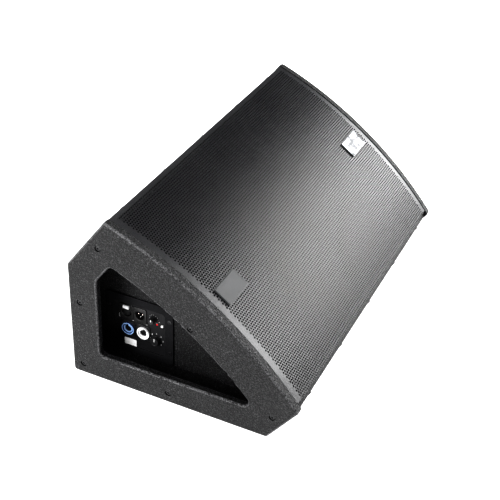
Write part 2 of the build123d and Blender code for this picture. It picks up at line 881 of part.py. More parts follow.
with BuildPart() as signal_input:
    add(input_block.part)
    with BuildSketch(end_plane(flange_depth)):
        with Locations(input_at):
            Circle(xlr_bore)
            Circle(xlr_insert, mode=Mode.SUBTRACT)
    extrude(amount=-12, mode=Mode.SUBTRACT)
    drill(end_plane(flange_depth), [input_at], xlr_insert, 1.0)
    drill(end_plane(flange_depth), beside(input_at, pin_points), pin_radius + hole_slack, 10.0)
    with BuildSketch(end_plane(flange_depth)):
        with Locations(latch_at):
            Rectangle(latch_size[0] + 2 * clearance, latch_size[1] + 2 * clearance)
    extrude(amount=-connector_flange_thickness - latch_travel - 1, mode=Mode.SUBTRACT)

with BuildPart() as input_latch:
    with BuildSketch(end_plane(flange_depth - latch_travel - 0.2)):
        with Locations(latch_at):
            RectangleRounded(*latch_size, 1.5)
    extrude(amount=-connector_flange_thickness - latch_travel)
    fillet(input_latch.faces().sort_by(Axis.X)[0].edges(), radius=0.8)

with BuildPart() as link_output:
    add(link_block.part)
    drill(end_plane(flange_depth), [link_at], xlr_cup, pin_length + 3)
    cup_floor = flange_depth + pin_length + 3
    drill(end_plane(cup_floor), beside(link_at, pin_points), pin_radius + hole_slack, 3.0)

with BuildPart() as link_pins:
    with BuildSketch(end_plane(flange_depth + 3)):
        with Locations(*beside(link_at, pin_points)):
            Circle(pin_radius)
    extrude(amount=-pin_length - 3)
    fillet(link_pins.faces().group_by(Axis.X)[0].edges(), radius=0.8)

with BuildPart() as mains_flanges:
    with BuildSketch(end_plane(fascia_depth)):
        with Locations(mains_in_at, mains_out_at):
            RectangleRounded(*connector_flange, 3)
            Circle(mains_radius + hole_slack, mode=Mode.SUBTRACT)
    extrude(amount=connector_flange_thickness)

mains_front = flange_depth - mains_rise


def mains_socket(centre, turn):
    """Round twist-lock mains socket: a ring, a deep ring-shaped slot and a notched insert."""
    with BuildPart() as socket:
        with BuildSketch(end_plane(mains_front)):
            with Locations(centre):
                Circle(mains_radius)
        extrude(amount=mains_front - input_board_depth)
        with BuildSketch(end_plane(mains_front)):
            with Locations(centre):
                Circle(mains_radius - mains_wall)
                Circle(mains_insert, mode=Mode.SUBTRACT)
        extrude(amount=-14, mode=Mode.SUBTRACT)
        drill(end_plane(mains_front), [centre], mains_insert, 2.0)
        with BuildSketch(end_plane(mains_front)):
            with Locations(Location((centre[0], centre[1], 0), turn)):
                with Locations((0, mains_insert / 2)):
                    Rectangle(4.2, mains_insert)
                Circle(3.2)
        extrude(amount=-9, mode=Mode.SUBTRACT)
    return socket


power_inlet = mains_socket(mains_in_at, 25)
power_outlet = mains_socket(mains_out_at, -25)

knob_gap = 0.5
bearing_slack = 0.05
shaft_length = 8.0


def control_knob(centre, radius, height):
    """Push-on knob with a pointer groove and the shaft that it turns."""
    with BuildPart() as knob:
        with BuildSketch(end_plane(fascia_depth - knob_gap)):
            with Locations(centre):
                Circle(radius)
        extrude(amount=height, taper=3)
        fillet(knob.faces().sort_by(Axis.X)[0].edges(), radius=0.8)
        with BuildSketch(end_plane(fascia_depth - knob_gap - height)):
            with Locations((centre[0], centre[1] + radius / 2)):
                Rectangle(1.2, radius)
        extrude(amount=-1.0, mode=Mode.SUBTRACT)
        with BuildSketch(end_plane(fascia_depth - knob_gap)):
            with Locations(centre):
                Circle(shaft_radius)
        extrude(amount=-knob_gap - fascia_thickness - shaft_length)
    return knob


level_knob = control_knob(level_at, level_radius, level_height)
preset_knob = control_knob(preset_at, preset_radius, preset_height)

with BuildPart() as control_bodies:
    with BuildSketch(end_plane(fascia_rear)):
        with Locations(level_at):
            Rectangle(14, 14)
        with Locations(preset_at):
            Circle(10)
        with Locations((lift_at[0], lift_at[1] - 3)):
            Rectangle(8, 16)
    extrude(amount=-board_depth)
    drill(end_plane(fascia_rear), [level_at, preset_at], shaft_radius + bearing_slack, shaft_length + 1)
    with BuildSketch(end_plane(fascia_rear)):
        with Locations(lift_at):
            Rectangle(*lift_slot)
    extrude(amount=-4, mode=Mode.SUBTRACT)

with BuildPart() as lift_switch:
    with BuildSketch(end_plane(fascia_depth - 2.2)):
        with Locations((lift_at[0], lift_at[1] + lift_travel / 2)):
            Rectangle(4, 4)
    extrude(amount=-2.2 - fascia_thickness - 3)

with BuildPart() as status_lamps:
    with BuildSketch(end_plane(fascia_depth - 0.8)):
        with Locations(*lamp_points):
            Circle(lamp_radius)
    extrude(amount=-0.8 - fascia_thickness - board_depth)

# ---------------------------------------------------------------- amplifier electronics
board_width = fascia_width - 4
board_height = fascia_height - 5


def circuit_board(depth):
    """Circuit board parallel to the panel."""
    with BuildPart() as board:
        with BuildSketch(end_plane(depth)):
            with Locations(amp_centre):
                Rectangle(board_width, board_height)
        extrude(amount=-board_thickness)
    return board


input_board = circuit_board(input_board_depth)
main_board = circuit_board(main_board_depth)
main_board_rear = main_board_depth + board_thickness
main_board_plane = end_plane(main_board_rear)

with BuildPart() as board_pillars:
    with BuildSketch(end_plane(input_board_depth + board_thickness)):
        with Locations(amp_centre):
            with GridLocations(board_width - 10, board_height - 10, 2, 2):
                Circle(2.5)
    extrude(amount=-main_board_gap)

sink_u = amp_centre[0] + 36.0
sink_back = housing_end - housing_wall - main_board_rear - 3

with BuildPart() as heat_sink:
    with BuildSketch(main_board_plane):
        with Locations((sink_u, amp_centre[1])):
            Rectangle(6, 80)
        with Locations((sink_u + 7, amp_centre[1])):
            with GridLocations(0, 8, 1, 10):
                Rectangle(8, 2)
    extrude(amount=-sink_back)

with BuildPart() as power_transistors:
    with BuildSketch(main_board_plane.offset(-6)):
        with Locations((sink_u - 3 - 2.25, amp_centre[1])):
            with GridLocations(0, 19, 1, 4):
                Rectangle(4.5, 15)
    extrude(amount=-20)
    with BuildSketch(main_board_plane.offset(-6)):
        with Locations((sink_u - 3 - 2.25, amp_centre[1])):
            with GridLocations(0, 19, 1, 4):
                with GridLocations(0, 5, 1, 3):
                    Rectangle(1.0, 1.0)
    extrude(amount=6)

with BuildPart() as capacitors:
    with BuildSketch(main_board_plane):
        with Locations((amp_centre[0] - 38, amp_centre[1])):
            with GridLocations(0, 20, 1, 4):
                Circle(8)
    extrude(amount=-28)
    fillet(capacitors.faces().group_by(Axis.X)[-1].edges(), radius=1.0)

with BuildPart() as transformer:
    with BuildSketch(main_board_plane):
        with Locations((amp_centre[0] - 4, amp_centre[1] + 18)):
            Rectangle(34, 30)
    extrude(amount=-8)
    with BuildSketch(main_board_plane):
        with Locations((amp_centre[0] - 4, amp_centre[1] + 18)):
            Rectangle(22, 36)
    extrude(amount=-24)
    with BuildSketch(main_board_plane.offset(-16)):
        with Locations((amp_centre[0] - 4, amp_centre[1] + 18)):
            Rectangle(34, 30)
    extrude(amount=-8)

# ---------------------------------------------------------------- terminals and internal leads
lead_radius = 2.5
gland_length = 6.0
woofer_tag_level = plate_front + 4.5
hf_tag_level = hf_back - 8.0
tag_height = 9.0
tag_depth = 12.0
hf_tag_depth = 8.0

with BuildPart() as lead_terminals:
    with BuildSketch(driver.offset(woofer_tag_level - tag_height / 2)):
        with Locations((-seat_radius - tag_depth / 2, 0)):
            Rectangle(tag_depth, 20)
    extrude(amount=tag_height)
    with BuildSketch(driver.offset(hf_tag_level - tag_height / 2)):
        with Locations((-hf_radius - hf_tag_depth / 2, 0)):
            Rectangle(hf_tag_depth, 14)
    extrude(amount=tag_height)
    with BuildSketch(end_plane(housing_end)):
        with Locations(*gland_points):
            Circle(6)
    extrude(amount=-gland_length)
    with BuildSketch(end_plane(housing_end)):
        with Locations(*gland_points):
            Circle(3.5)
    extrude(amount=housing_wall + 2)

gland_x = gland_length + housing_end - width / 2
straight_end = Vector(14, 0)  # leads leave and enter square to what holds them
woofer_gland = in_space(Vector(*gland_points[0]), gland_x)
hf_gland = in_space(Vector(*gland_points[1]), gland_x)
woofer_tag = driver.from_local_coords((-seat_radius - tag_depth, 0, woofer_tag_level))
hf_tag = driver.from_local_coords((-hf_radius - hf_tag_depth, 0, hf_tag_level))
woofer_route = [
    woofer_gland,
    woofer_gland + straight_end,
    in_space(Vector(127, 97), -146),
    in_space(Vector(157, 106), -135),
    woofer_tag - straight_end,
    woofer_tag,
]
hf_route = [
    hf_gland,
    hf_gland + straight_end,
    in_space(Vector(108, 61), -128),
    in_space(Vector(126, 59), -102),
    hf_tag - straight_end,
    hf_tag,
]


def bend_radii(route):
    """Largest tangent arcs that the runs on each side of a corner leave room for."""
    radii = []
    for before, corner, after in zip(route, route[1:], route[2:]):
        arriving = corner - before
        leaving = after - corner
        shorter = min(arriving.length, leaving.length)
        radii.append(0.45 * shorter / tan(radians(arriving.get_angle(leaving) / 2)))
    return radii


def lead(route):
    """Round lead along straight runs joined by arcs."""
    radii = bend_radii(route)
    print("lead bend radii", [round(radius, 1) for radius in radii])
    with BuildPart() as cable:
        with BuildLine() as path:
            FilletPolyline(*route, radius=radii)
        with BuildSketch(Plane(origin=route[0], z_dir=path.line % 0)):
            Circle(lead_radius)
        sweep(path=path.line)
    expected = pi * lead_radius**2 * path.wires()[0].length
    print("lead volume against length", round(cable.part.volume / expected, 4))
    return cable


woofer_lead = lead(woofer_route)
hf_lead = lead(hf_route)

with BuildPart() as speaker_leads:
    add(woofer_lead.part)
    add(hf_lead.part)

for piece, label in (
    (end_panel_left, "end_panel_left"),
    (end_panel_right, "end_panel_right"),
    (end_panel_screws, "end_panel_screws"),
    (rear_board, "rear_panel"),
    (bottom_board, "bottom_panel"),
    (rubber_feet, "rubber_feet"),
    (corner_blocks, "corner_blocks"),
    (baffle_board, "baffle_board"),
    (bulkhead_left, "bulkhead_left"),
    (bulkhead_right, "bulkhead_right"),
    (grille_ribs, "grille_ribs"),
    (top_board, "top_panel"),
    (lip_board, "front_lip"),
    (grille, "grille"),
    (grille_foam, "grille_foam"),
    (badges, "badges"),
    (woofer_frame, "woofer_frame"),
    (woofer_gasket, "woofer_gasket"),
    (woofer_cone, "woofer_cone"),
    (voice_coil, "voice_coil"),
    (woofer_surround, "woofer_surround"),
    (woofer_spider, "woofer_spider"),
    (motor_front_plate, "motor_front_plate"),
    (woofer_magnet, "woofer_magnet"),
    (motor_yoke, "motor_yoke"),
    (hf_horn, "hf_horn"),
    (hf_motor, "hf_motor"),
    (hf_phase_plug, "hf_phase_plug"),
    (hf_diaphragm, "hf_diaphragm"),
    (hf_cap, "hf_cap"),
    (woofer_screws, "woofer_screws"),
    (port_tubes, "port_tubes"),
    (damping_pads, "damping_pads"),
    (amp_plate, "amp_plate"),
    (amp_gasket, "amp_gasket"),
    (m4_screws, "m4_screws"),
    (amp_fascia, "amp_fascia"),
    (amp_housing, "amp_housing"),
    (signal_input, "signal_input"),
    (input_latch, "input_latch"),
    (link_output, "link_output"),
    (link_pins, "link_pins"),
    (mains_flanges, "mains_flanges"),
    (power_inlet, "power_inlet"),
    (power_outlet, "power_outlet"),
    (level_knob, "level_knob"),
    (preset_knob, "preset_knob"),
    (control_bodies, "control_bodies"),
    (lift_switch, "lift_switch"),
    (status_lamps, "status_lamps"),
    (input_board, "input_board"),
    (main_board, "main_board"),
    (board_pillars, "board_pillars"),
    (heat_sink, "heat_sink"),
    (power_transistors, "power_transistors"),
    (capacitors, "capacitors"),
    (transformer, "transformer"),
    (lead_terminals, "lead_terminals"),
    (speaker_leads, "speaker_leads"),
):
    save(piece, label)
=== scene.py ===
"""Looks of the active stage monitor wedge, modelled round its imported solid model.

The file is laid out as an add-on and run as a script. Sizes on the panels are in millimetres, in the
solid model's own section coordinates: depth runs inwards from the amplifier end's outer face, u runs
forward from the rear wall and v runs up from the underside.
"""

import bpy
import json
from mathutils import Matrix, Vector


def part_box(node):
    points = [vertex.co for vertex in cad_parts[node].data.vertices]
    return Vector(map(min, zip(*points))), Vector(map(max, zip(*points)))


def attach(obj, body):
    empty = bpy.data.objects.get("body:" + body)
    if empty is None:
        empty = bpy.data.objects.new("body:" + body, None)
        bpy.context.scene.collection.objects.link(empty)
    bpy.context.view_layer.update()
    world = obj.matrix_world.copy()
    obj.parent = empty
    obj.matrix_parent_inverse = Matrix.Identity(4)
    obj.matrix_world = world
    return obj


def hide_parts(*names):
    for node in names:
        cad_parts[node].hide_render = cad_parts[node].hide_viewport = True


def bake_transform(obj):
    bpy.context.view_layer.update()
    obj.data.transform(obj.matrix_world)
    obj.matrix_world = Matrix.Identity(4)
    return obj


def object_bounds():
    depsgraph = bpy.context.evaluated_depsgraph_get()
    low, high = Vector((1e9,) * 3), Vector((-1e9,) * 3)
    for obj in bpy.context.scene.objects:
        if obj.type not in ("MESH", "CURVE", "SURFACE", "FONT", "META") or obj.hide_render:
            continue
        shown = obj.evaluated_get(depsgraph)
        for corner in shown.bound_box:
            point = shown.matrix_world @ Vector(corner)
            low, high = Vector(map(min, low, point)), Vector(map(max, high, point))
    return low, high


bl_info = {
    "name": "Stage Monitor Wedge",
    "version": (1, 0, 0),
    "blender": (4, 5, 0),
    "location": "View3D > Sidebar > Wedge",
    "description": "Models the grille, panels, sockets and finishes of a stage monitor wedge",
    "category": "Object",
}

import json
import math

import bmesh
import bpy
from bpy.props import FloatProperty, FloatVectorProperty, IntProperty, PointerProperty
from mathutils import Matrix, Vector
from mathutils.noise import noise as ripple

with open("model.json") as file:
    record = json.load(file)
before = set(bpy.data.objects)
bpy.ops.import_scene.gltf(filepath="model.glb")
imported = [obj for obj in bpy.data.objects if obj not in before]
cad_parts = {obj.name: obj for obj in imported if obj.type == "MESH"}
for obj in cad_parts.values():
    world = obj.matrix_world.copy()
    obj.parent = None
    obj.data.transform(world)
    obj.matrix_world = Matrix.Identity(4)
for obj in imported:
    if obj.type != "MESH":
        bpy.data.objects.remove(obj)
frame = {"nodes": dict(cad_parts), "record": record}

# ---------------------------------------------------------------- sizes, in millimetres unless said otherwise
MM = 0.001
SHARP_FROM = 32  # degrees between two faces
CAD_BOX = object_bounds()
PANEL_LOW, PANEL_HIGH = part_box("end_panel_left")
OUTER_END = PANEL_LOW.x  # metres: outer face of the amplifier end
REAR = PANEL_HIGH.y  # metres: where u = 0
UNDERSIDE = PANEL_LOW.z  # metres: where v = 0
WIDTH = -2 * OUTER_END / MM

SLOPE = math.radians(36)  # of the grille
CHORD = 430.0
CROWN = 29.0
TOP_FACET = 126.0
LIP_FACET = 90.0
PROUD = 2.5
GRILLE_INSET = 1.3
GRILLE_FLANGE = 18.0
END_THICKNESS = 15.0
BASE_LENGTH = TOP_FACET * math.sin(SLOPE) + (CHORD * math.cos(SLOPE) - LIP_FACET * math.sin(SLOPE))
REAR_HEIGHT = LIP_FACET * math.cos(SLOPE) + CHORD * math.sin(SLOPE) - TOP_FACET * math.cos(SLOPE)
ARC_RADIUS = (CHORD**2 / 4 + CROWN**2) / (2 * CROWN)
DOWN_FACE = Vector((math.cos(SLOPE), -math.sin(SLOPE)))
OUT_FACE = Vector((math.sin(SLOPE), math.cos(SLOPE)))
TOP_CORNER = Vector((0, REAR_HEIGHT)) + OUT_FACE * TOP_FACET

BOLT_SEAT = 4  # depth of the end bolts' counterbores
FOOT_X = 290.0
FOOT_INSET = 48.0
FOOT_RADIUS = 14.0
FOOT_DEPTH = 6.5
SCREW_X = (-280.0, -140.0, 0.0, 140.0, 280.0)

PLATE_DEPTH = 66.0  # front of the amplifier plate
FASCIA_DEPTH = 68.5
PLATE_CENTRE = (95.0, 79.5)
PLATE_SIZE = (132, 122, 8)  # width, height and corner radius
PLATE_WINDOW = (100, 91, 6)
PLATE_SCREWS = [(95.0 + i * 59.5, 79.5 + j * 34.0) for i in (-1, 1) for j in (-1, 1)]
SIGNAL_IN = (69.5, 106.0)
SIGNAL_LINK = (96.0, 106.0)
MAINS_IN = (72.5, 71.5)
MAINS_LINK = (102.5, 71.5)
LEVEL_AT = (122.5, 108.0)
PRESET_AT = (127.5, 65.0)
LIFT_AT = (139.0, 96.0)
LIMIT_LAMP = (128.5, 98.0)
SIGNAL_LAMP = (133.0, 101.5)
LATCH_RISE = 10.2  # of the latch tab above the middle of its socket
SOCKET_FLANGE = (26, 31, 3)  # width, height and corner radius
BAFFLE_BELOW = 25.0  # baffle's front face under the grille's straight line
BADGE_SIZE = (66, 35)
BADGE_X = 274.0  # of a badge's middle, on either side
MAINS_FRONT = 64.0  # depth of the mains sockets' front rims
PIN_OFFSETS = ((3.6, 1.4), (-3.6, 1.4), (0.0, -3.8))

# the camera and the floor, in metres and degrees; the lens in millimetres
CAMERA_AT = (-1.52853, -0.64365, 1.23549)
CAMERA_TURN = (55.9204, -2.0589, -64.6570)
CAMERA_LENS = 77.17  # on a 36 mm sensor
FLOOR_REACH = 30.0
FLOOR_GAP = 0.0005


# ---------------------------------------------------------------- places
def spot(depth, u, v):
    """Place behind the amplifier end's outer face, in metres."""
    return Vector((OUTER_END + depth * MM, REAR - u * MM, UNDERSIDE + v * MM))


def on_panel(depth, at, turn=0.0):
    """Matrix of a piece on the amplifier panel: its x runs along u, its y up, its z out of the panel."""
    facing = Matrix(((0, 0, -1), (-1, 0, 0), (0, 1, 0))).to_4x4()
    return Matrix.Translation(spot(depth, *at)) @ facing @ Matrix.Rotation(math.radians(turn), 4, "Z")


def on_face(along, below, x=0.0):
    """Place under the grille's straight line, in metres; along runs down the face."""
    point = TOP_CORNER + DOWN_FACE * along - OUT_FACE * below
    return Vector((x * MM, REAR - point.x * MM, UNDERSIDE + point.y * MM))


def aimed(origin, outward, along=(1, 0, 0)):
    """Matrix with its z axis outward and its x axis along."""
    z = Vector(outward).normalized()
    x = Vector(along).normalized()
    y = z.cross(x)
    return Matrix.Translation(origin) @ Matrix((x, y, z)).transposed().to_4x4()


WORLD_DOWN_FACE = Vector((0, -DOWN_FACE.x, DOWN_FACE.y))
WORLD_OUT_FACE = Vector((0, -OUT_FACE.x, OUT_FACE.y))
SLOT_OF = {entry["node"]: entry["material_slot"] for entry in frame["record"]["subparts"]}


# ---------------------------------------------------------------- shader trees
def add_node(tree, kind, sockets=None, **settings):
    """New shader node; a socket that is given a socket is linked, and any other value is set."""
    made = tree.nodes.new("ShaderNode" + kind)
    for name, value in settings.items():
        setattr(made, name, value)
    for name, value in (sockets or {}).items():
        if isinstance(value, bpy.types.NodeSocket):
            tree.links.new(value, made.inputs[name])
        else:
            made.inputs[name].default_value = value
    return made


def calc(tree, operation, *values):
    """Output of a Math node."""
    return add_node(tree, "Math", dict(enumerate(values)), operation=operation).outputs[0]


def fade(tree, value, start, end):
    """0 up to start and 1 from end on, smooth between them."""
    sockets = {"Value": value, "From Min": start, "From Max": end}
    return add_node(tree, "MapRange", sockets, interpolation_type="SMOOTHSTEP").outputs["Result"]


def between(tree, value, low, high):
    """A mask from 0 to 1 spread over low to high."""
    return add_node(tree, "MapRange", {"Value": value, "To Min": low, "To Max": high}).outputs["Result"]


def mixed(tree, factor, first, second):
    """Colour between first and second."""
    return add_node(tree, "Mix", {0: factor, 6: first, 7: second}, data_type="RGBA").outputs[2]


def noise(tree, vector, scale, detail=2.0, roughness=0.5, distortion=0.0):
    """Noise texture's factor."""
    sockets = {"Vector": vector, "Scale": scale, "Detail": detail, "Roughness": roughness}
    sockets["Distortion"] = distortion
    return add_node(tree, "TexNoise", sockets).outputs["Fac"]


def place_of(tree):
    """Object coordinates, which are metres in the model's own frame."""
    return add_node(tree, "TexCoord").outputs["Object"]


def effect(name, inputs, outputs):
    """Node group with float inputs and outputs: its tree, its input sockets and its output node."""
    group = bpy.data.node_groups.new(name, "ShaderNodeTree")
    for label, default in inputs.items():
        socket = group.interface.new_socket(label, in_out="INPUT", socket_type="NodeSocketFloat")
        socket.default_value = default
    for label in outputs:
        group.interface.new_socket(label, in_out="OUTPUT", socket_type="NodeSocketFloat")
    return group, group.nodes.new("NodeGroupInput").outputs, group.nodes.new("NodeGroupOutput").inputs


def use(tree, name, **values):
    """Places a shared effect in a material and returns its outputs."""
    return add_node(tree, "Group", values, node_tree=bpy.data.node_groups[name]).outputs


def make_grain():
    """Sprayed texture paint: a pebbled height, and a mask on the tops of its grains where a painted highlight
    goes.
    """
    group, given, result = effect("grain", {"Size": 0.0015}, ("Height", "Top_highlight"))
    scale = calc(group, "DIVIDE", 1.0, given["Size"])
    place = place_of(group)
    pebbles = noise(group, place, scale, 2.0, 0.55)
    fine = noise(group, place, calc(group, "MULTIPLY", scale, 2.6), 1.0, 0.6)
    sharp = fade(group, pebbles, 0.40, 0.66)
    height = calc(group, "ADD", calc(group, "MULTIPLY", sharp, 0.75), calc(group, "MULTIPLY", fine, 0.25))
    group.links.new(height, result["Height"])
    # the second output marks the grains' tops, which the paints colour lighter as a painted highlight
    group.links.new(fade(group, calc(group, "MULTIPLY", pebbles, fine), 0.29, 0.46), result["Top_highlight"])


def make_smudges():
    """Large soft patches, for handled or dusty surfaces."""
    group, given, result = effect("smudges", {"Size": 0.08}, ("Mask",))
    scale = calc(group, "DIVIDE", 1.0, given["Size"])
    patches = noise(group, place_of(group), scale, 5.0, 0.62, 0.4)
    group.links.new(fade(group, patches, 0.34, 0.68), result["Mask"])


def make_edge_wear():
    """Mask of worn paint and of a painted highlight on rounded edges that turn away from the X axis, broken
    up along their length.
    """
    group, given, result = effect("edge_wear_and_highlight", {"Size": 0.002, "Amount": 0.8}, ("Mask",))
    normal = add_node(group, "TexCoord").outputs["Normal"]
    tilt = calc(group, "ABSOLUTE", add_node(group, "SeparateXYZ", {0: normal}).outputs["X"])
    rounded = calc(group, "MULTIPLY", fade(group, tilt, 0.04, 0.30), fade(group, tilt, 0.995, 0.88))
    place = place_of(group)
    flecks = noise(group, place, calc(group, "DIVIDE", 1.0, given["Size"]), 3.0, 0.7)
    stretches = noise(group, place, 16.0, 2.0, 0.5)
    broken = calc(group, "ADD", calc(group, "MULTIPLY", flecks, 0.8), calc(group, "MULTIPLY", stretches, 0.2))
    # the mask stands for worn paint and a painted highlight alike
    worn = calc(group, "MULTIPLY", rounded, fade(group, broken, 0.42, 0.60))
    group.links.new(calc(group, "MULTIPLY", worn, given["Amount"]), result["Mask"])


def make_brushing():
    """Fine brushing along X."""
    group, given, result = effect("brushing", {"Size": 0.0004}, ("Height",))
    scale = calc(group, "DIVIDE", 1.0, given["Size"])
    stretched = add_node(group, "Mapping", {"Vector": place_of(group), "Scale": (0.02, 1.0, 1.0)})
    group.links.new(noise(group, stretched.outputs[0], scale, 3.0, 0.6), result["Height"])


def make_weave():
    """Plain weave of threads a given size apart, over the X axis and the other two added up."""
    group, given, result = effect("weave", {"Size": 0.001}, ("Height",))
    axes = add_node(group, "SeparateXYZ", {0: place_of(group)}).outputs
    turns = calc(group, "DIVIDE", math.pi, given["Size"])
    across = calc(group, "SINE", calc(group, "MULTIPLY", axes["X"], turns))
    rise = calc(group, "ADD", axes["Y"], axes["Z"])
    along = calc(group, "SINE", calc(group, "MULTIPLY", rise, turns))
    over = calc(group, "MAXIMUM", calc(group, "ABSOLUTE", across), calc(group, "ABSOLUTE", along))
    crossing = calc(group, "MULTIPLY", calc(group, "MULTIPLY", across, along), 0.35)
    group.links.new(calc(group, "ADD", over, crossing), result["Height"])


def new_material(name):
    """Tree and bare Principled shader of a new material; the loaded one of that name steps aside."""
    loaded = bpy.data.materials.get(name)
    if loaded:
        loaded.name = f"{name}_as_loaded"
    material = bpy.data.materials.new(name)
    material.use_nodes = True
    return material.node_tree, material.node_tree.nodes["Principled BSDF"]


def finish_of(name):
    """A finish by its name."""
    return bpy.data.materials[name]


def fill(shader, **values):
    """Sets plain values on the shader's own sockets."""
    for name, value in values.items():
        shader.inputs[name.replace("_", " ")].default_value = value


def dress(shader, colour, roughness, height, depth, **values):
    """Links what changes over the surface, with the height's depth in metres, and sets plain values."""
    tree = shader.id_data
    bump = add_node(tree, "Bump", {"Height": height, "Distance": depth})
    for socket, given in (("Base Color", colour), ("Roughness", roughness), ("Normal", bump.outputs[0])):
        tree.links.new(given, shader.inputs[socket])
    fill(shader, **values)


def solid(colour, share=1.0):
    """Colour with its alpha, scaled by share."""
    return (colour[0] * share, colour[1] * share, colour[2] * share, 1.0)


def textured_paint(name, colour, highlight_colour, rough, grain, depth, wear_and_highlight=0.0, worn=None, gloss=0.3):
    """Structured paint with a painted highlight on the tops of its grains and, where asked, worn paint with a
    painted highlight on rounded edges.
    """
    tree, shader = new_material(name)
    grains = use(tree, "grain", Size=grain)
    patches = use(tree, "smudges", Size=0.11)["Mask"]
    shade = mixed(tree, patches, solid(colour, 0.82), solid(colour, 1.15))
    # the grains' tops take the highlight colour: a painted highlight
    shade = mixed(tree, grains["Top_highlight"], shade, solid(highlight_colour))
    roughness = between(tree, grains["Height"], rough + 0.12, rough - 0.10)
    # rounded edges take the light grey worn colour: worn paint together with a painted highlight along them
    if wear_and_highlight:
        bare_and_lit = use(tree, "edge_wear_and_highlight", Size=0.0022, Amount=wear_and_highlight)["Mask"]
        shade = mixed(tree, bare_and_lit, shade, solid(worn))
        roughness = calc(tree, "SUBTRACT", roughness, calc(tree, "MULTIPLY", bare_and_lit, 0.2))
    dress(shader, shade, roughness, grains["Height"], depth, Specular_IOR_Level=gloss)


def satin_paint(name, colour, rough=0.42, dust=0.03, gloss=0.4, depth=0.00004):
    """Thin powder coat on metal: fine orange peel, faint dust in patches."""
    tree, shader = new_material(name)
    peel = use(tree, "grain", Size=0.0007)["Height"]
    patches = use(tree, "smudges", Size=0.14)["Mask"]
    shade = mixed(tree, patches, solid(colour), solid([channel + dust for channel in colour]))
    roughness = between(tree, patches, rough - 0.012, rough + 0.015)
    dress(shader, shade, roughness, peel, depth, Specular_IOR_Level=gloss)


def moulded(name, colour, rough=0.4, depth=0.00003, coat=0.0):
    """Moulded plastic or rubber with a fine spark-eroded texture and handling marks."""
    tree, shader = new_material(name)
    texture = use(tree, "grain", Size=0.0005)["Height"]
    marks = use(tree, "smudges", Size=0.02)["Mask"]
    shade = mixed(tree, marks, solid(colour, 0.9), solid(colour, 1.12))
    roughness = between(tree, marks, rough - 0.06, rough + 0.08)
    dress(shader, shade, roughness, texture, depth, Coat_Weight=coat, Coat_Roughness=0.08)


def brushed_metal(name, colour, rough=0.3, depth=0.00002):
    """Bare or plated metal with fine brushing and a slight tarnish."""
    tree, shader = new_material(name)
    lines = use(tree, "brushing", Size=0.0004)["Height"]
    tarnish = use(tree, "smudges", Size=0.03)["Mask"]
    shade = mixed(tree, tarnish, solid(colour), solid(colour, 0.78))
    worn = calc(tree, "ADD", calc(tree, "MULTIPLY", lines, 0.18), calc(tree, "MULTIPLY", tarnish, 0.10))
    dress(shader, shade, calc(tree, "ADD", worn, rough - 0.12), lines, depth, Metallic=1.0)


def cloth(name, colour, thread):
    """Woven or doped cloth."""
    tree, shader = new_material(name)
    weave = use(tree, "weave", Size=thread)["Height"]
    patches = use(tree, "smudges", Size=0.05)["Mask"]
    # colour darker in the weave's low places and lighter on its crowns: painted shade between the threads and
    # painted highlight on them
    shade = mixed(tree, weave, solid(colour, 0.55), solid(colour, 1.2))
    shade = mixed(tree, calc(tree, "MULTIPLY", patches, 0.4), shade, solid(colour, 0.7))
    roughness = between(tree, weave, 0.85, 0.70)
    dress(shader, shade, roughness, weave, 0.0003, Sheen_Weight=0.25, Sheen_Roughness=0.5)


def foil(name, colour):
    """Silvery foil with faint crossing bands of painted sheen."""
    tree, shader = new_material(name)
    place = place_of(tree)
    bands, cross = (
        noise(tree, add_node(tree, "Mapping", {"Vector": place, "Scale": stretch}).outputs[0], 150.0)
        for stretch in ((1.0, 0.25, 0.25), (0.25, 1.0, 1.0))
    )
    sheen = fade(tree, calc(tree, "ADD", bands, cross), 0.85, 1.15)
    shade = mixed(tree, sheen, solid(colour, 0.55), solid(colour, 1.3))
    dress(shader, shade, between(tree, sheen, 0.5, 0.38), sheen, 0.00003, Metallic=0.85)


def porous(name, colour, cell=0.0018, depth=0.0008):
    """Open-cell foam or matted fibre."""
    tree, shader = new_material(name)
    place = place_of(tree)
    cells = add_node(tree, "TexVoronoi", {"Vector": place, "Scale": 1 / cell}).outputs["Distance"]
    fibres = noise(tree, place, 0.5 / cell, 4.0, 0.7, 1.5)
    height = calc(tree, "ADD", calc(tree, "MULTIPLY", cells, 0.6), calc(tree, "MULTIPLY", fibres, 0.4))
    # colour darker in the hollows of the cells: painted shade
    shade = mixed(tree, fade(tree, height, 0.25, 0.65), solid(colour, 0.45), solid(colour, 1.25))
    dress(shader, shade, between(tree, fibres, 0.85, 1.0), height, depth, Specular_IOR_Level=0.08)


def pulp(name, colour):
    """Pressed paper cone: fibres in a matt black stain."""
    tree, shader = new_material(name)
    fibres = noise(tree, place_of(tree), 900.0, 5.0, 0.75, 2.0)
    patches = use(tree, "smudges", Size=0.03)["Mask"]
    shade = mixed(tree, fade(tree, fibres, 0.45, 0.7), solid(colour, 0.7), solid(colour, 1.8))
    shade = mixed(tree, calc(tree, "MULTIPLY", patches, 0.3), shade, solid(colour))
    dress(shader, shade, between(tree, fibres, 0.7, 0.95), fibres, 0.00015)


def ferrite(name, colour):
    """Sintered magnet: matt, with pits."""
    tree, shader = new_material(name)
    cells = add_node(tree, "TexVoronoi", {"Vector": place_of(tree), "Scale": 420.0}).outputs["Distance"]
    pits = fade(tree, cells, 0.1, 0.3)
    patches = use(tree, "smudges", Size=0.02)["Mask"]
    shade = mixed(tree, patches, solid(colour, 0.8), solid(colour, 1.3))
    dress(shader, shade, between(tree, pits, 0.75, 0.55), pits, 0.00015)


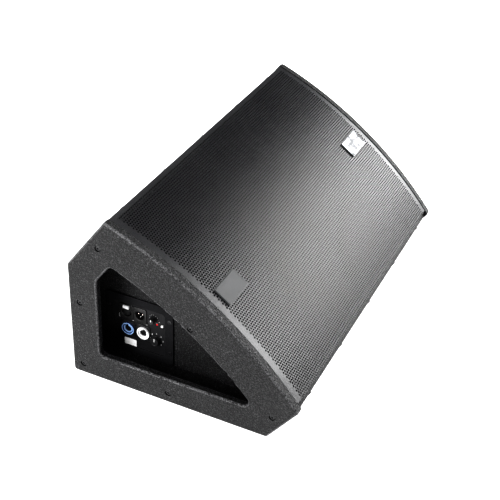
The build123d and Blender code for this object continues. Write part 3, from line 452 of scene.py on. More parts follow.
def plywood(name, colour):
    """Birch plywood: plies along each thin direction and a fine grain."""
    tree, shader = new_material(name)
    place = place_of(tree)
    sockets = {"Vector": place, "Scale": 105.0, "Distortion": 0.6}
    plies = add_node(tree, "TexWave", sockets, bands_direction="X")
    grain = add_node(tree, "Mapping", {"Vector": place, "Scale": (1.0, 0.08, 1.0)}).outputs[0]
    lines = noise(tree, grain, 700.0, 4.0, 0.65)
    shade = mixed(tree, fade(tree, plies.outputs["Fac"], 0.3, 0.7), solid(colour, 0.6), solid(colour))
    shade = mixed(tree, calc(tree, "MULTIPLY", lines, 0.45), shade, solid(colour, 1.25))
    dress(shader, shade, between(tree, lines, 0.5, 0.75), lines, 0.00012)


def copper_winding(name, colour):
    """Edge-wound wire: fine turns one above the other, along the driver's axis."""
    tree, shader = new_material(name)
    level = add_node(tree, "Mapping", {"Vector": place_of(tree), "Rotation": (-SLOPE, 0.0, 0.0)}).outputs[0]
    turns = add_node(tree, "TexWave", {"Vector": level, "Scale": 620.0}, bands_direction="Z").outputs["Fac"]
    # colour darker in the grooves between turns and lighter on their crowns: painted shade and painted
    # highlight
    shade = mixed(tree, turns, solid(colour, 0.5), solid(colour, 1.2))
    dress(shader, shade, between(tree, turns, 0.45, 0.25), turns, 0.0001, Metallic=0.9)


def circuit_board(name, colour):
    """Solder mask over copper tracks, with pads."""
    tree, shader = new_material(name)
    axes = add_node(tree, "SeparateXYZ", {0: place_of(tree)}).outputs
    flat = add_node(tree, "CombineXYZ", {"X": axes["Y"], "Y": axes["Z"]}).outputs[0]
    sockets = {"Vector": flat, "Scale": 130.0, "Mortar Size": 0.035, "Brick Width": 1.3, "Row Height": 0.4}
    tracks = add_node(tree, "TexBrick", sockets).outputs["Fac"]
    pads = add_node(tree, "TexVoronoi", {"Vector": flat, "Scale": 230.0, "Randomness": 0.35})
    pad = fade(tree, pads.outputs["Distance"], 0.22, 0.16)
    shade = mixed(tree, pad, mixed(tree, tracks, solid(colour), solid(colour, 1.9)), (0.62, 0.60, 0.52, 1.0))
    tree.links.new(calc(tree, "MULTIPLY", pad, 0.9), shader.inputs["Metallic"])
    dress(shader, shade, between(tree, tracks, 0.35, 0.25), calc(tree, "ADD", tracks, pad), 0.00005)


def lit_lens(name, colour, glow):
    """Coloured lamp lens that glows when it is lit, with faint marks over its colour and glow."""
    tree, shader = new_material(name)
    marks = use(tree, "smudges", Size=0.003)["Mask"]
    tree.links.new(mixed(tree, marks, solid(colour), solid(colour, 0.5)), shader.inputs["Emission Color"])
    shade = mixed(tree, marks, solid(colour), solid(colour, 0.7))
    roughness = between(tree, marks, 0.12, 0.22)
    dress(shader, shade, roughness, marks, 0.00001, Emission_Strength=glow, Coat_Weight=0.6)


# ---------------------------------------------------------------- meshes, built in millimetres
def into(whole, part, matrix=None):
    """Adds a part's mesh to a bigger one, moved by a matrix."""
    if matrix is not None:
        part.transform(matrix)
    carrier = bpy.data.meshes.new("carrier")
    part.to_mesh(carrier)
    part.free()
    whole.from_mesh(carrier)
    bpy.data.meshes.remove(carrier)


def set_at(x, y, z=0.0, turn=0.0):
    """Matrix of a place within a piece."""
    return Matrix.Translation((x, y, z)) @ Matrix.Rotation(math.radians(turn), 4, "Z")


def rounded(bm, geom, reach, segments, affect):
    """Rounds corners (VERTICES) or edges (EDGES); only edges are kept from overlapping."""
    bmesh.ops.bevel(
        bm,
        geom=geom,
        offset=reach,
        offset_type="OFFSET",
        segments=segments,
        profile=0.5,
        affect=affect,
        material=-1,
        clamp_overlap=affect == "EDGES",
    )


def rounded_outline(bm, width, height, corner, segments=6):
    """Edges of a rectangle with round corners, about the origin."""
    square = bmesh.ops.create_grid(bm, x_segments=1, y_segments=1, size=0.5)["verts"]
    bmesh.ops.scale(bm, vec=(width, height, 1), verts=square)
    if corner:
        rounded(bm, square, corner, segments, "VERTICES")


def stood_up(bm, back, front, edge=0.0):
    """Gives flat faces a thickness from back to front along z and rounds their front rim."""
    bmesh.ops.translate(bm, vec=(0, 0, back), verts=bm.verts)
    raised = bmesh.ops.extrude_face_region(bm, geom=bm.faces[:], use_keep_orig=True)["geom"]
    top = {item for item in raised if isinstance(item, bmesh.types.BMVert)}
    bmesh.ops.translate(bm, vec=(0, 0, front - back), verts=list(top))
    bmesh.ops.recalc_face_normals(bm, faces=bm.faces)
    if edge:
        rim = [e for e in bm.edges if top.issuperset(e.verts) and e.calc_face_angle(0) > 1.0]
        rounded(bm, rim, edge, 3, "EDGES")
    return bm


def slab(width, height, back, front, corner=0.0, edge=0.0):
    """Rectangular block with round corners and a softened front rim."""
    bm = bmesh.new()
    rounded_outline(bm, width, height, corner)
    return stood_up(bm, back, front, edge)


def framed(width, height, corner, hole, back, front, edge=0.0):
    """Rectangular plate with a window; hole is its width, height and corner radius."""
    bm = bmesh.new()
    for size in ((width, height, corner), hole):
        rounded_outline(bm, *size)
        bmesh.ops.delete(bm, geom=bm.faces[:], context="FACES_ONLY")
    bmesh.ops.bridge_loops(bm, edges=bm.edges[:])
    return stood_up(bm, back, front, edge)


def turned(*profile, steps=48):
    """Solid turned about z from (radius, z) points that start and end on the axis or close up."""
    bm = bmesh.new()
    points = [bm.verts.new((radius, 0, z)) for radius, z in profile]
    for first, second in zip(points, points[1:]):
        bm.edges.new((first, second))
    everything = bm.verts[:] + bm.edges[:]
    axis = {"cent": (0, 0, 0), "axis": (0, 0, 1)}
    bmesh.ops.spin(bm, geom=everything, **axis, angle=math.tau, steps=steps, use_merge=True)
    bmesh.ops.remove_doubles(bm, verts=bm.verts, dist=1e-4)
    bmesh.ops.recalc_face_normals(bm, faces=bm.faces)
    return bm


def ring(outer, inner, back, front, edge=0.3, steps=64):
    """Turned ring with softened front edges."""
    return turned(
        (inner, back), (outer, back), (outer, front - edge), (outer - edge * 0.3, front - edge * 0.3),
        (outer - edge, front), (inner + edge, front), (inner + edge * 0.3, front - edge * 0.3),
        (inner, front - edge), (inner, back), steps=steps,
    )


def pierced(width, height, corner, hole, back, front, edge):
    """Rectangular plate with a round hole, its front rims softened."""
    bm = bmesh.new()
    rounded_outline(bm, width, height, corner, 11)
    bmesh.ops.delete(bm, geom=bm.faces[:], context="FACES_ONLY")
    bmesh.ops.create_circle(bm, segments=48, radius=hole, matrix=Matrix.Rotation(math.radians(41), 4, "Z"))
    bmesh.ops.bridge_loops(bm, edges=bm.edges[:])
    return stood_up(bm, back, front, edge)


def swept(profile, start, end, steps=36):
    """Closed part of a ring: a closed (radius, z) profile turned from one angle to another."""
    bm = bmesh.new()
    points = [bm.verts.new((radius, 0, z)) for radius, z in profile]
    for first, second in zip(points, points[1:] + points[:1]):
        bm.edges.new((first, second))
    bmesh.ops.rotate(bm, verts=bm.verts, cent=(0, 0, 0), matrix=Matrix.Rotation(math.radians(start), 3, "Z"))
    line = bm.verts[:] + bm.edges[:]
    angle = math.radians(end - start)
    bmesh.ops.spin(bm, geom=line, cent=(0, 0, 0), axis=(0, 0, 1), angle=angle, steps=steps)
    bmesh.ops.holes_fill(bm, edges=[edge for edge in bm.edges if edge.is_boundary])
    bmesh.ops.recalc_face_normals(bm, faces=bm.faces)
    return bm


def lobed_screw(head, height, lobe, recess, shank, length, dome=0.0):
    """Screw along -z, its head's underside at z = 0, with a six-lobe recess."""
    soft = min(height * 0.35, 1.0)
    bm = turned(
        (0, height - recess), (lobe * 0.8, height - recess), (lobe * 0.8, height - 0.25),
        (lobe * 0.92, height), (lobe * 1.35, height - dome * 0.15), (head - soft, height - dome * 0.6),
        (head - soft * 0.3, height - dome * 0.75 - soft * 0.3), (head, height - dome - soft), (head, 0),
        (shank, 0), (shank, -length), (0, -length), steps=24,
    )
    for vert in bm.verts:
        radius = vert.co.xy.length
        if 0.1 < radius < lobe and vert.co.z > height - recess - 0.01:
            angle = math.atan2(vert.co.y, vert.co.x)
            vert.co.xy *= 1 + 0.15 * math.cos(6 * angle)
    return bm


def carved(bm, cutter):
    """Cuts one closed shape out of another."""
    shapes = []
    for shape in (bm, cutter):
        mesh = bpy.data.meshes.new("shape")
        shape.to_mesh(mesh)
        shape.free()
        shapes.append(bpy.data.objects.new("shape", mesh))
        bpy.context.scene.collection.objects.link(shapes[-1])
    cut = shapes[0].modifiers.new("cut", "BOOLEAN")
    cut.operation = "DIFFERENCE"
    cut.object = shapes[1]
    cut.solver = "EXACT"
    cut.use_self = True
    result = bmesh.new()
    result.from_object(shapes[0], bpy.context.evaluated_depsgraph_get())
    for shape in shapes:
        mesh = shape.data
        bpy.data.objects.remove(shape)
        bpy.data.meshes.remove(mesh)
    return result


def finished(bm, name, finish, matrix=None, nodes=(), body="cabinet", weighted=True):
    """Turns a mesh in millimetres into a shaded piece in place of CAD nodes; without a body it rides on none.
    """
    bm.transform((matrix or Matrix()) @ Matrix.Scale(MM, 4))
    bmesh.ops.remove_doubles(bm, verts=bm.verts, dist=1e-6)
    bmesh.ops.recalc_face_normals(bm, faces=bm.faces)
    mesh = bpy.data.meshes.new(name)
    bm.to_mesh(mesh)
    bm.free()
    mesh.shade_smooth()
    mesh.set_sharp_from_angle(angle=math.radians(SHARP_FROM))
    mesh.materials.append(finish_of(finish))
    piece = bpy.data.objects.new(name, mesh)
    bpy.context.scene.collection.objects.link(piece)
    if weighted:
        piece.modifiers.new("flat_faces", "WEIGHTED_NORMAL").keep_sharp = True
    if body:
        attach(piece, body)
    if nodes:
        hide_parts(*nodes)
    return piece


def sizes(context):
    """The settings of the sidebar panel."""
    return context.scene.wedge


# ---------------------------------------------------------------- settings
class WedgeSettings(bpy.types.PropertyGroup):
    """Sizes and colours of the wedge's surface pieces."""

    sheet_thickness: FloatProperty(
        name="Grille sheet", description="Thickness of the steel sheet", default=0.0012, unit="LENGTH"
    )
    hole_pitch: FloatProperty(
        name="Hole pitch", description="Distance between holes in a row", default=0.00532, unit="LENGTH"
    )
    hole_radius: FloatProperty(
        name="Hole radius", description="Radius of a grille hole", default=0.00192, unit="LENGTH"
    )
    hole_columns: IntProperty(name="Hole columns", description="Holes in each row of the grille", default=119)
    hole_rows: IntProperty(name="Hole rows", description="Rows of holes down the grille", default=90)
    paint: FloatVectorProperty(
        name="Cabinet paint",
        description="Colour of the textured paint on the end panels",
        default=(0.006, 0.006, 0.0065),
        subtype="COLOR",
    )
    # colour of the painted highlight on the tops of the paint's grains
    fleck: FloatVectorProperty(
        name="Paint fleck",
        description="Colour of the light tops of the paint's texture",
        default=(0.105, 0.105, 0.108),
        subtype="COLOR",
    )
    grille_paint: FloatVectorProperty(
        name="Grille paint",
        description="Colour of the grille's powder coat",
        default=(0.014, 0.014, 0.016),
        subtype="COLOR",
    )
    lamp_glow: FloatProperty(name="Lamp glow", description="Strength of the lit lamp", default=1.2)
    white_light: FloatProperty(
        name="White light", description="Strength of the white surroundings", default=0.25
    )
    key_power: FloatProperty(
        name="Key power", description="Power of the large soft light in front", default=170.0, unit="POWER"
    )


# ---------------------------------------------------------------- finishes of every node
def paint_nodes(context):
    """Makes the shared effects and every finish, and gives each carried-over node its finish."""
    settings = sizes(context)
    make_grain()
    make_smudges()
    make_edge_wear()
    make_brushing()
    make_weave()
    # the end panels' rounded edges get a light grey that is partly worn paint and partly a painted highlight
    textured_paint(
        "side_paint", settings.paint, settings.fleck, 0.42, 0.0027, 0.0011, wear_and_highlight=0.8, worn=(0.17, 0.17, 0.175)
    )
    textured_paint("panel_paint", (0.006, 0.006, 0.0065), (0.12, 0.12, 0.123), 0.45, 0.0026, 0.0010)
    plywood("raw_ply", (0.022, 0.018, 0.015))
    satin_paint("grille_black", settings.grille_paint, 0.31, 0.004, 0.40, 0.00008)
    porous("foam_black", (0.006, 0.006, 0.006))
    satin_paint("badge_grey", (0.045, 0.046, 0.048), 0.5, 0.02, 0.3)
    foil("badge_silver", (0.13, 0.133, 0.138))
    moulded("foot_rubber", (0.015, 0.015, 0.015), 0.75, 0.00006)
    moulded("screw_black", (0.012, 0.012, 0.013), 0.35)
    satin_paint("frame_black", (0.012, 0.012, 0.012), 0.5)
    porous("gasket_black", (0.010, 0.010, 0.010), 0.0009, 0.0003)
    pulp("cone_paper", (0.012, 0.011, 0.011))
    copper_winding("coil_copper", (0.72, 0.33, 0.16))
    cloth("roll_cloth", (0.020, 0.019, 0.018), 0.0009)
    cloth("spider_cloth", (0.42, 0.27, 0.10), 0.0008)
    brushed_metal("plate_zinc", (0.62, 0.62, 0.60), 0.38)
    ferrite("ferrite", (0.035, 0.035, 0.037))
    moulded("horn_black", (0.012, 0.012, 0.012), 0.38)
    brushed_metal("dome_metal", (0.70, 0.70, 0.72), 0.25, 0.000005)
    moulded("cap_black", (0.014, 0.014, 0.014), 0.5)
    moulded("port_black", (0.011, 0.011, 0.011), 0.5)
    porous("wadding", (0.58, 0.56, 0.52), 0.0030, 0.0015)
    textured_paint(
        "amp_plate_grey", (0.009, 0.009, 0.010), (0.030, 0.030, 0.032), 0.6, 0.0008, 0.00012, gloss=0.12
    )
    textured_paint("fascia_black", (0.010, 0.010, 0.011), (0.028, 0.028, 0.030), 0.45, 0.0006, 0.00006)
    brushed_metal("housing_steel", (0.52, 0.53, 0.54), 0.35)
    moulded("connector_black", (0.012, 0.012, 0.012), 0.34, coat=0.15)
    moulded("latch_silver", (0.80, 0.80, 0.81), 0.3, coat=0.3)
    brushed_metal("pin_silver", (0.86, 0.85, 0.82), 0.22)
    moulded("socket_black", (0.010, 0.010, 0.011), 0.36, coat=0.1)
    moulded("inlet_blue", (0.008, 0.03, 0.16), 0.32, coat=0.3)
    moulded("inlet_pale", (0.36, 0.55, 0.88), 0.35, coat=0.2)
    moulded("outlet_white", (0.86, 0.86, 0.87), 0.34, coat=0.25)
    moulded("knob_black", (0.013, 0.013, 0.014), 0.42, coat=0.1)
    moulded("print_white", (0.88, 0.88, 0.88), 0.5, 0.00001)
    brushed_metal("control_metal", (0.60, 0.60, 0.60), 0.35)
    moulded("switch_white", (0.80, 0.80, 0.79), 0.35)
    lit_lens("lamp_red", (0.75, 0.015, 0.02), settings.lamp_glow)
    lit_lens("lamp_dark", (0.06, 0.012, 0.012), 0.0)
    circuit_board("board_green", (0.010, 0.085, 0.030))
    brushed_metal("pillar_brass", (0.72, 0.52, 0.22), 0.3)
    satin_paint("sink_black", (0.014, 0.014, 0.014), 0.45)
    moulded("transistor_black", (0.012, 0.012, 0.012), 0.45)
    moulded("capacitor_black", (0.016, 0.016, 0.022), 0.3, coat=0.2)
    brushed_metal("transformer_core", (0.36, 0.36, 0.36), 0.5)
    moulded("terminal_plastic", (0.60, 0.56, 0.44), 0.45)
    moulded("lead_grey", (0.10, 0.10, 0.11), 0.45)
    for node, piece in frame["nodes"].items():
        for place in piece.material_slots:
            place.material = finish_of(SLOT_OF[node])


# ---------------------------------------------------------------- operators
class WEDGE_OT_stage(bpy.types.Operator):
    """Sets up the pale floor, the soft lights and the camera"""

    bl_idname = "wedge.stage"
    bl_label = "Stage"

    def execute(self, context):
        settings = sizes(context)
        scene = context.scene
        scene.view_settings.view_transform = "Standard"
        scene.view_settings.look = "High Contrast"
        world = bpy.data.worlds.new("studio")
        world.use_nodes = True
        scene.world = world
        surroundings = world.node_tree.nodes["Background"]
        surroundings.inputs["Color"].default_value = (1.0, 1.0, 1.0, 1.0)
        seen = add_node(world.node_tree, "LightPath").outputs["Is Camera Ray"]
        strength = between(world.node_tree, seen, settings.white_light, 1.0)
        world.node_tree.links.new(strength, surroundings.inputs["Strength"])

        floor = bmesh.new()
        bmesh.ops.create_grid(floor, x_segments=24, y_segments=24, size=FLOOR_REACH)
        bmesh.ops.translate(floor, vec=(0, 0, CAD_BOX[0].z - FLOOR_GAP), verts=floor.verts)
        tree, shader = new_material("pale_floor")
        cloudy = noise(tree, place_of(tree), 1.2, 3.0, 0.5)
        tint = mixed(tree, cloudy, (0.93, 0.93, 0.93, 1.0), (0.96, 0.96, 0.96, 1.0))
        tree.links.new(tint, shader.inputs["Base Color"])
        tree.links.new(between(tree, cloudy, 0.75, 0.85), shader.inputs["Roughness"])
        fill(shader, Emission_Color=(1.0, 1.0, 1.0, 1.0), Emission_Strength=0.6)
        mesh = bpy.data.meshes.new("pale_floor")
        floor.to_mesh(mesh)
        floor.free()
        mesh.materials.append(finish_of("pale_floor"))
        ground = bpy.data.objects.new("pale_floor", mesh)
        scene.collection.objects.link(ground)

        middle = (CAD_BOX[0] + CAD_BOX[1]) / 2
        lights = (
            ("front_softbox", (2.38, -1.75, 1.22), (2.3, 1.35), settings.key_power * 0.85),
            ("overhead_softbox", (0.3, 0.9, 2.6), (2.4, 1.2), settings.key_power * 0.22),
            ("end_softbox", (-2.6, 0.9, 1.3), (1.2, 1.2), settings.key_power * 0.5),
        )
        for name, place, (width, height), power in lights:
            lamp = bpy.data.lights.new(name, "AREA")
            lamp.shape = "RECTANGLE"
            lamp.size = width
            lamp.size_y = height
            lamp.energy = power
            light = bpy.data.objects.new(name, lamp)
            light.location = place
            light.rotation_euler = (middle - Vector(place)).to_track_quat("-Z", "Y").to_euler()
            scene.collection.objects.link(light)

        optics = bpy.data.cameras.new("view")
        optics.lens = CAMERA_LENS
        optics.sensor_width = 36.0
        camera = bpy.data.objects.new("view", optics)
        camera.location = CAMERA_AT
        camera.rotation_euler = [math.radians(angle) for angle in CAMERA_TURN]
        scene.collection.objects.link(camera)
        scene.camera = camera
        return {"FINISHED"}


class WEDGE_OT_finishes(bpy.types.Operator):
    """Makes the finishes and paints every node of the solid model"""

    bl_idname = "wedge.finishes"
    bl_label = "Finishes"

    def execute(self, context):
        paint_nodes(context)
        return {"FINISHED"}


class WEDGE_OT_grille(bpy.types.Operator):
    """Makes the perforated steel grille"""

    bl_idname = "wedge.grille"
    bl_label = "Grille"

    fold = 4.7  # outer radius of the folded edges

    def execute(self, context):
        settings = sizes(context)
        pitch = settings.hole_pitch / MM
        columns = settings.hole_columns
        share = math.ceil(columns / 5)
        for piece, first in enumerate(range(0, columns, share)):
            last = min(first + share, columns)
            bm = self.sheet(first, last, columns, settings.hole_rows, pitch, settings.hole_radius / MM)
            self.thicken(bm, settings.sheet_thickness / MM)
            self.wrap(bm)
            finished(bm, f"grille_{piece + 1}", "grille_black", nodes=("grille",), weighted=False)
        return {"FINISHED"}

    def sheet(self, first, last, columns, rows, pitch, hole):
        """Flat perforated sheet with plain borders; x is across the cabinet and y down the face."""
        row_pitch = pitch * math.cos(math.radians(30))
        bm = bmesh.new()
        rim = bmesh.ops.create_circle(bm, segments=12, radius=pitch / math.sqrt(3))["verts"]
        for middle in rim[1::2]:
            middle.co *= math.cos(math.radians(30))
        bmesh.ops.create_circle(bm, segments=12, radius=hole)
        bmesh.ops.bridge_loops(bm, edges=bm.edges[:])
        hole_mark = bm.verts.layers.int.new("hole")
        for vert in bm.verts:
            vert[hole_mark] = vert.co.xy.length < hole * 1.01
        shift = pitch / 2
        self.repeat(bm, 2, (shift, row_pitch, 0))
        self.repeat(bm, math.ceil(rows / 2), (0, 2 * row_pitch, 0))
        self.repeat(bm, last - first, (pitch, 0, 0))
        low = Vector(((first - (columns - 0.5) / 2 + 0.25) * pitch, -(rows - 1) / 2 * row_pitch, 0))
        bmesh.ops.translate(bm, vec=low, verts=bm.verts)
        bmesh.ops.remove_doubles(bm, verts=bm.verts, dist=0.01)
        half_width = WIDTH / 2 - END_THICKNESS - 0.5
        if first == 0:
            self.pull(bm, self.border(bm, hole_mark, 0, -1), 0, -half_width)
        if last == columns:
            self.pull(bm, self.border(bm, hole_mark, 0, 1), 0, half_width)
        for side in (-1, 1):
            line = self.border(bm, hole_mark, 1, side)
            for station in self.stations():
                line = self.pull(bm, line, 1, side * station)
        return bm

    def repeat(self, bm, count, step):
        """Repeats the whole mesh in a line."""
        unit = bm.verts[:] + bm.edges[:] + bm.faces[:]
        for index in range(1, count):
            copy = bmesh.ops.duplicate(bm, geom=unit)["geom"]
            moved = [item for item in copy if isinstance(item, bmesh.types.BMVert)]
            bmesh.ops.translate(bm, vec=Vector(step) * index, verts=moved)

    def border(self, bm, hole_mark, axis, side):
        """Open edges, other than hole rims, that face one way."""
        outermost = max(abs(vert.co.y) for vert in bm.verts) - 2.4
        chosen = []
        for edge in bm.edges:
            first, second = edge.verts
            if not edge.is_boundary or (first[hole_mark] and second[hole_mark]):
                continue
            away = (first.co + second.co) / 2 - edge.link_faces[0].calc_center_median()
            reach = min(abs(first.co.y), abs(second.co.y)) - outermost
            if axis == 1:
                if reach > 0 and away.y * side > abs(away.x) * 0.2 and first.co.y * side > 0:
                    chosen.append(edge)
            elif away.x * side > 0.02 and (reach <= 0 or away.x * side > abs(away.y) * 2):
                chosen.append(edge)
        return chosen

    def pull(self, bm, edges, axis, station):
        """Extends open edges to a straight line."""
        made = bmesh.ops.extrude_edge_only(bm, edges=edges)["geom"]
        for vert in made:
            if isinstance(vert, bmesh.types.BMVert):
                vert.co[axis] = station
        return [edge for edge in made if isinstance(edge, bmesh.types.BMEdge)]

    def stations(self):
        """Lengths from the middle of the arc at which the sheet's end is divided."""
        face, bend, flange = self.half_lengths()
        return [face] + [face + bend * step / 5 for step in range(1, 6)] + [face + bend + flange]

    def half_lengths(self):
        """Lengths of half the arc, of the bend and of the flange."""
        radius = ARC_RADIUS - GRILLE_INSET
        lean = math.asin((CHORD / 2 - GRILLE_INSET - self.fold) / (radius - self.fold))
        flange = math.cos(lean) * (radius - self.fold) - (ARC_RADIUS - CROWN - GRILLE_FLANGE)
        return radius * lean, self.fold * (math.pi / 2 - lean), flange

    def thicken(self, bm, thickness):
        """Gives the flat sheet its thickness, all of it below z = 0."""
        bmesh.ops.recalc_face_normals(bm, faces=bm.faces)
        bmesh.ops.solidify(bm, geom=bm.faces[:], thickness=thickness)
        for vert in bm.verts:
            vert.co.z = -thickness if abs(vert.co.z) > thickness / 2 else 0.0

    def wrap(self, bm):
        """Bends the flat sheet onto the arc, the folds and the flanges."""
        face, bend, flange = self.half_lengths()
        radius = ARC_RADIUS - GRILLE_INSET
        lean = face / radius
        centre = Vector((math.sin(lean), math.cos(lean))) * (radius - self.fold)
        middle = Vector((0, -(ARC_RADIUS - CROWN)))
        for vert in bm.verts:
            x, run, lift = vert.co
            side = -1 if run < 0 else 1
            length = abs(run)
            if length <= face:
                angle = length / radius
                point = Vector((math.sin(angle), math.cos(angle))) * (radius + lift)
            elif length <= face + bend:
                angle = lean + (length - face) / self.fold
                point = centre + Vector((math.sin(angle), math.cos(angle))) * (self.fold + lift)
            else:
                point = centre + Vector((self.fold + lift, -(length - face - bend)))
            along = CHORD / 2 + side * point.x
            vert.co = on_face(along, -(point + middle).y, x) / MM


class WEDGE_OT_badges(bpy.types.Operator):
    """Makes the two blank badge plates on the grille"""

    bl_idname = "wedge.badges"
    bl_label = "Badges"

    def execute(self, context):
        # the far plate takes the bright silvery foil and the near plate grey satin paint, so the far plate's
        # brightness is a painted reflection
        for name, side, finish in (("near_badge", -1, "badge_grey"), ("far_badge", 1, "badge_silver")):
            plate = slab(*BADGE_SIZE, 0.0, 3.0, 1.5, 0.7)
            top = max(plate.faces, key=lambda face: (round(face.calc_center_median().z, 3), face.calc_area()))
            bmesh.ops.inset_region(plate, faces=[top], thickness=1.3)
            bmesh.ops.inset_region(plate, faces=[top], thickness=0.12, depth=-0.4)
            place = aimed(on_face(CHORD / 2, -(CROWN - GRILLE_INSET), side * BADGE_X), WORLD_OUT_FACE)
            finished(plate, name, finish, place, ("badges",))
        return {"FINISHED"}


class WEDGE_OT_fasteners(bpy.types.Operator):
    """Makes the end panel bolts and the small machine screws"""

    bl_idname = "wedge.fasteners"
    bl_label = "Fasteners"

    def execute(self, context):
        bolts = bmesh.new()
        rear_points = [Vector((21, 152)), Vector((21, 21)), Vector((187, 21))]
        face_points = [self.section(21, 50), self.section(409, 47), self.section(215, 34)]
        for index, point in enumerate(face_points + rear_points):
            for side in (-1, 1):
                bolt = lobed_screw(4.75, 3.2, 2.3, 2.0, 2.5, 32.0, dome=0.4)
                seat = Vector((side * (WIDTH / 2 - BOLT_SEAT), REAR / MM - point.x, UNDERSIDE / MM + point.y))
                turn = aimed(seat, (side, 0, 0), (0, math.cos(index * 1.3), math.sin(index * 1.3)))
                into(bolts, bolt, turn)
        finished(bolts, "end_bolts", "screw_black", nodes=("end_panel_screws",))

        screws = bmesh.new()
        places = []
        for x in SCREW_X:
            places.append((on_face(GRILLE_INSET, 12, x), -WORLD_DOWN_FACE))
            places.append((on_face(CHORD - GRILLE_INSET, 12, x), WORLD_DOWN_FACE))
        for x in (-FOOT_X, FOOT_X):
            for u in (FOOT_INSET, BASE_LENGTH - FOOT_INSET):
                places.append((Vector((x * MM, REAR - u * MM, UNDERSIDE - 1.5 * MM)), (0, 0, -1)))
            for v in (FOOT_INSET, REAR_HEIGHT - FOOT_INSET):
                places.append((Vector((x * MM, REAR + 1.5 * MM, UNDERSIDE + v * MM)), (0, 1, 0)))
        for at in PLATE_SCREWS:
            places.append((spot(PLATE_DEPTH, *at), (-1, 0, 0)))
        for index, (seat, outward) in enumerate(places):
            screw = lobed_screw(4.0, 1.2, 1.25, 0.8, 2.0, 13.4, dome=0.25)
            along = (0, 1, 0) if abs(Vector(outward).x) > 0.5 else (1, 0, 0)
            turn = aimed(seat / MM, outward, along) @ Matrix.Rotation(index * 0.9, 4, "Z")
            into(screws, screw, turn)
        finished(screws, "machine_screws", "screw_black", nodes=("m4_screws",))
        return {"FINISHED"}

    def section(self, along, below):
        """Section point under the grille's straight line."""
        return TOP_CORNER + DOWN_FACE * along - OUT_FACE * below


class WEDGE_OT_feet(bpy.types.Operator):
    """Makes the rubber feet under the cabinet and on its back"""

    bl_idname = "wedge.feet"
    bl_label = "Rubber feet"

    def execute(self, context):
        low = FOOT_RADIUS - FOOT_DEPTH * math.tan(math.radians(8))
        feet = bmesh.new()
        for x in (-FOOT_X, FOOT_X):
            for u in (FOOT_INSET, BASE_LENGTH - FOOT_INSET):
                base = Vector((x, REAR / MM - u, UNDERSIDE / MM + PROUD))
                into(feet, self.foot(low), aimed(base, (0, 0, -1)))
            for v in (FOOT_INSET, REAR_HEIGHT - FOOT_INSET):
                base = Vector((x, REAR / MM - PROUD, UNDERSIDE / MM + v))
                into(feet, self.foot(low), aimed(base, (0, 1, 0)))
        finished(feet, "feet", "foot_rubber", nodes=("rubber_feet",))
        return {"FINISHED"}

    def foot(self, low):
        """Tapered foot with a moulded ring round its screw recess."""
        return turned(
            (2.1, 0), (FOOT_RADIUS, 0), (low + 0.12, FOOT_DEPTH - 0.9), (low - 0.2, FOOT_DEPTH - 0.3),
            (low - 0.9, FOOT_DEPTH), (10.2, FOOT_DEPTH), (9.9, FOOT_DEPTH - 0.5), (8.9, FOOT_DEPTH - 0.5),
            (8.6, FOOT_DEPTH), (4.8, FOOT_DEPTH), (4.3, FOOT_DEPTH - 0.4), (4.3, FOOT_DEPTH - 2.5),
            (2.1, FOOT_DEPTH - 2.5), (2.1, 0), steps=48,
        )


class WEDGE_OT_amplifier_plate(bpy.types.Operator):
    """Makes the amplifier's front plate and the plain marks printed on its fascia"""

    bl_idname = "wedge.amplifier_plate"
    bl_label = "Amplifier plate"

    def execute(self, context):
        plate = framed(*PLATE_SIZE, PLATE_WINDOW, 0, 2.5, 0.6)
        finished(
            plate, "amp_front_plate", "amp_plate_grey", on_panel(FASCIA_DEPTH, PLATE_CENTRE), ("amp_plate",)
        )
        marks = bmesh.new()
        centre = Vector(PLATE_CENTRE)

        def place(u, v, turn=0.0):
            return set_at(u - centre.x, v - centre.y, 0, turn)

        into(marks, slab(56, 0.5, -0.2, 0.12), place(82, 90))
        into(marks, slab(0.5, 7, -0.2, 0.12), place(54.2, 93.4))
        into(marks, slab(7, 0.5, -0.2, 0.12), place(57.4, 97))
        into(marks, slab(24, 14, -0.2, 0.16, 0.8), place(75, 41))
        for step in range(11):
            angle = 90 + 150 - step * 30
            out = Vector((math.cos(math.radians(angle)), math.sin(math.radians(angle)))) * 8.1
            length = 1.6 if step in (0, 5, 10) else 1.0
            tick = slab(length, 0.35, -0.2, 0.12)
            into(marks, tick, place(LEVEL_AT[0] + out.x, LEVEL_AT[1] + out.y, angle))
        for at, reach in ((LIMIT_LAMP, 3.0), (SIGNAL_LAMP, 3.0)):
            into(marks, slab(2.2, 0.35, -0.2, 0.12), place(at[0], at[1] + reach))
        for step in range(8):
            angle = 90 - step * 45
            out = Vector((math.cos(math.radians(angle)), math.sin(math.radians(angle)))) * 12.3
            digit = self.digit(step + 1, 3.0)
            into(marks, digit, place(PRESET_AT[0] + out.x, PRESET_AT[1] + out.y))
        finished(
            marks, "fascia_marks", "print_white", on_panel(FASCIA_DEPTH, PLATE_CENTRE)
        )
        return {"FINISHED"}

    def digit(self, number, height):
        """Plain dial number as a thin mesh about its own middle."""
        words = bpy.data.curves.new("digit", "FONT")
        words.body = str(number)
        words.size = height * 1.4
        words.align_x = "CENTER"
        words.align_y = "CENTER"
        words.extrude = 0.12
        words.resolution_u = 3
        holder = bpy.data.objects.new("digit", words)
        outline = bpy.data.meshes.new_from_object(holder)
        bm = bmesh.new()
        bm.from_mesh(outline)
        bpy.data.objects.remove(holder)
        bpy.data.curves.remove(words)
        bpy.data.meshes.remove(outline)
        return bm


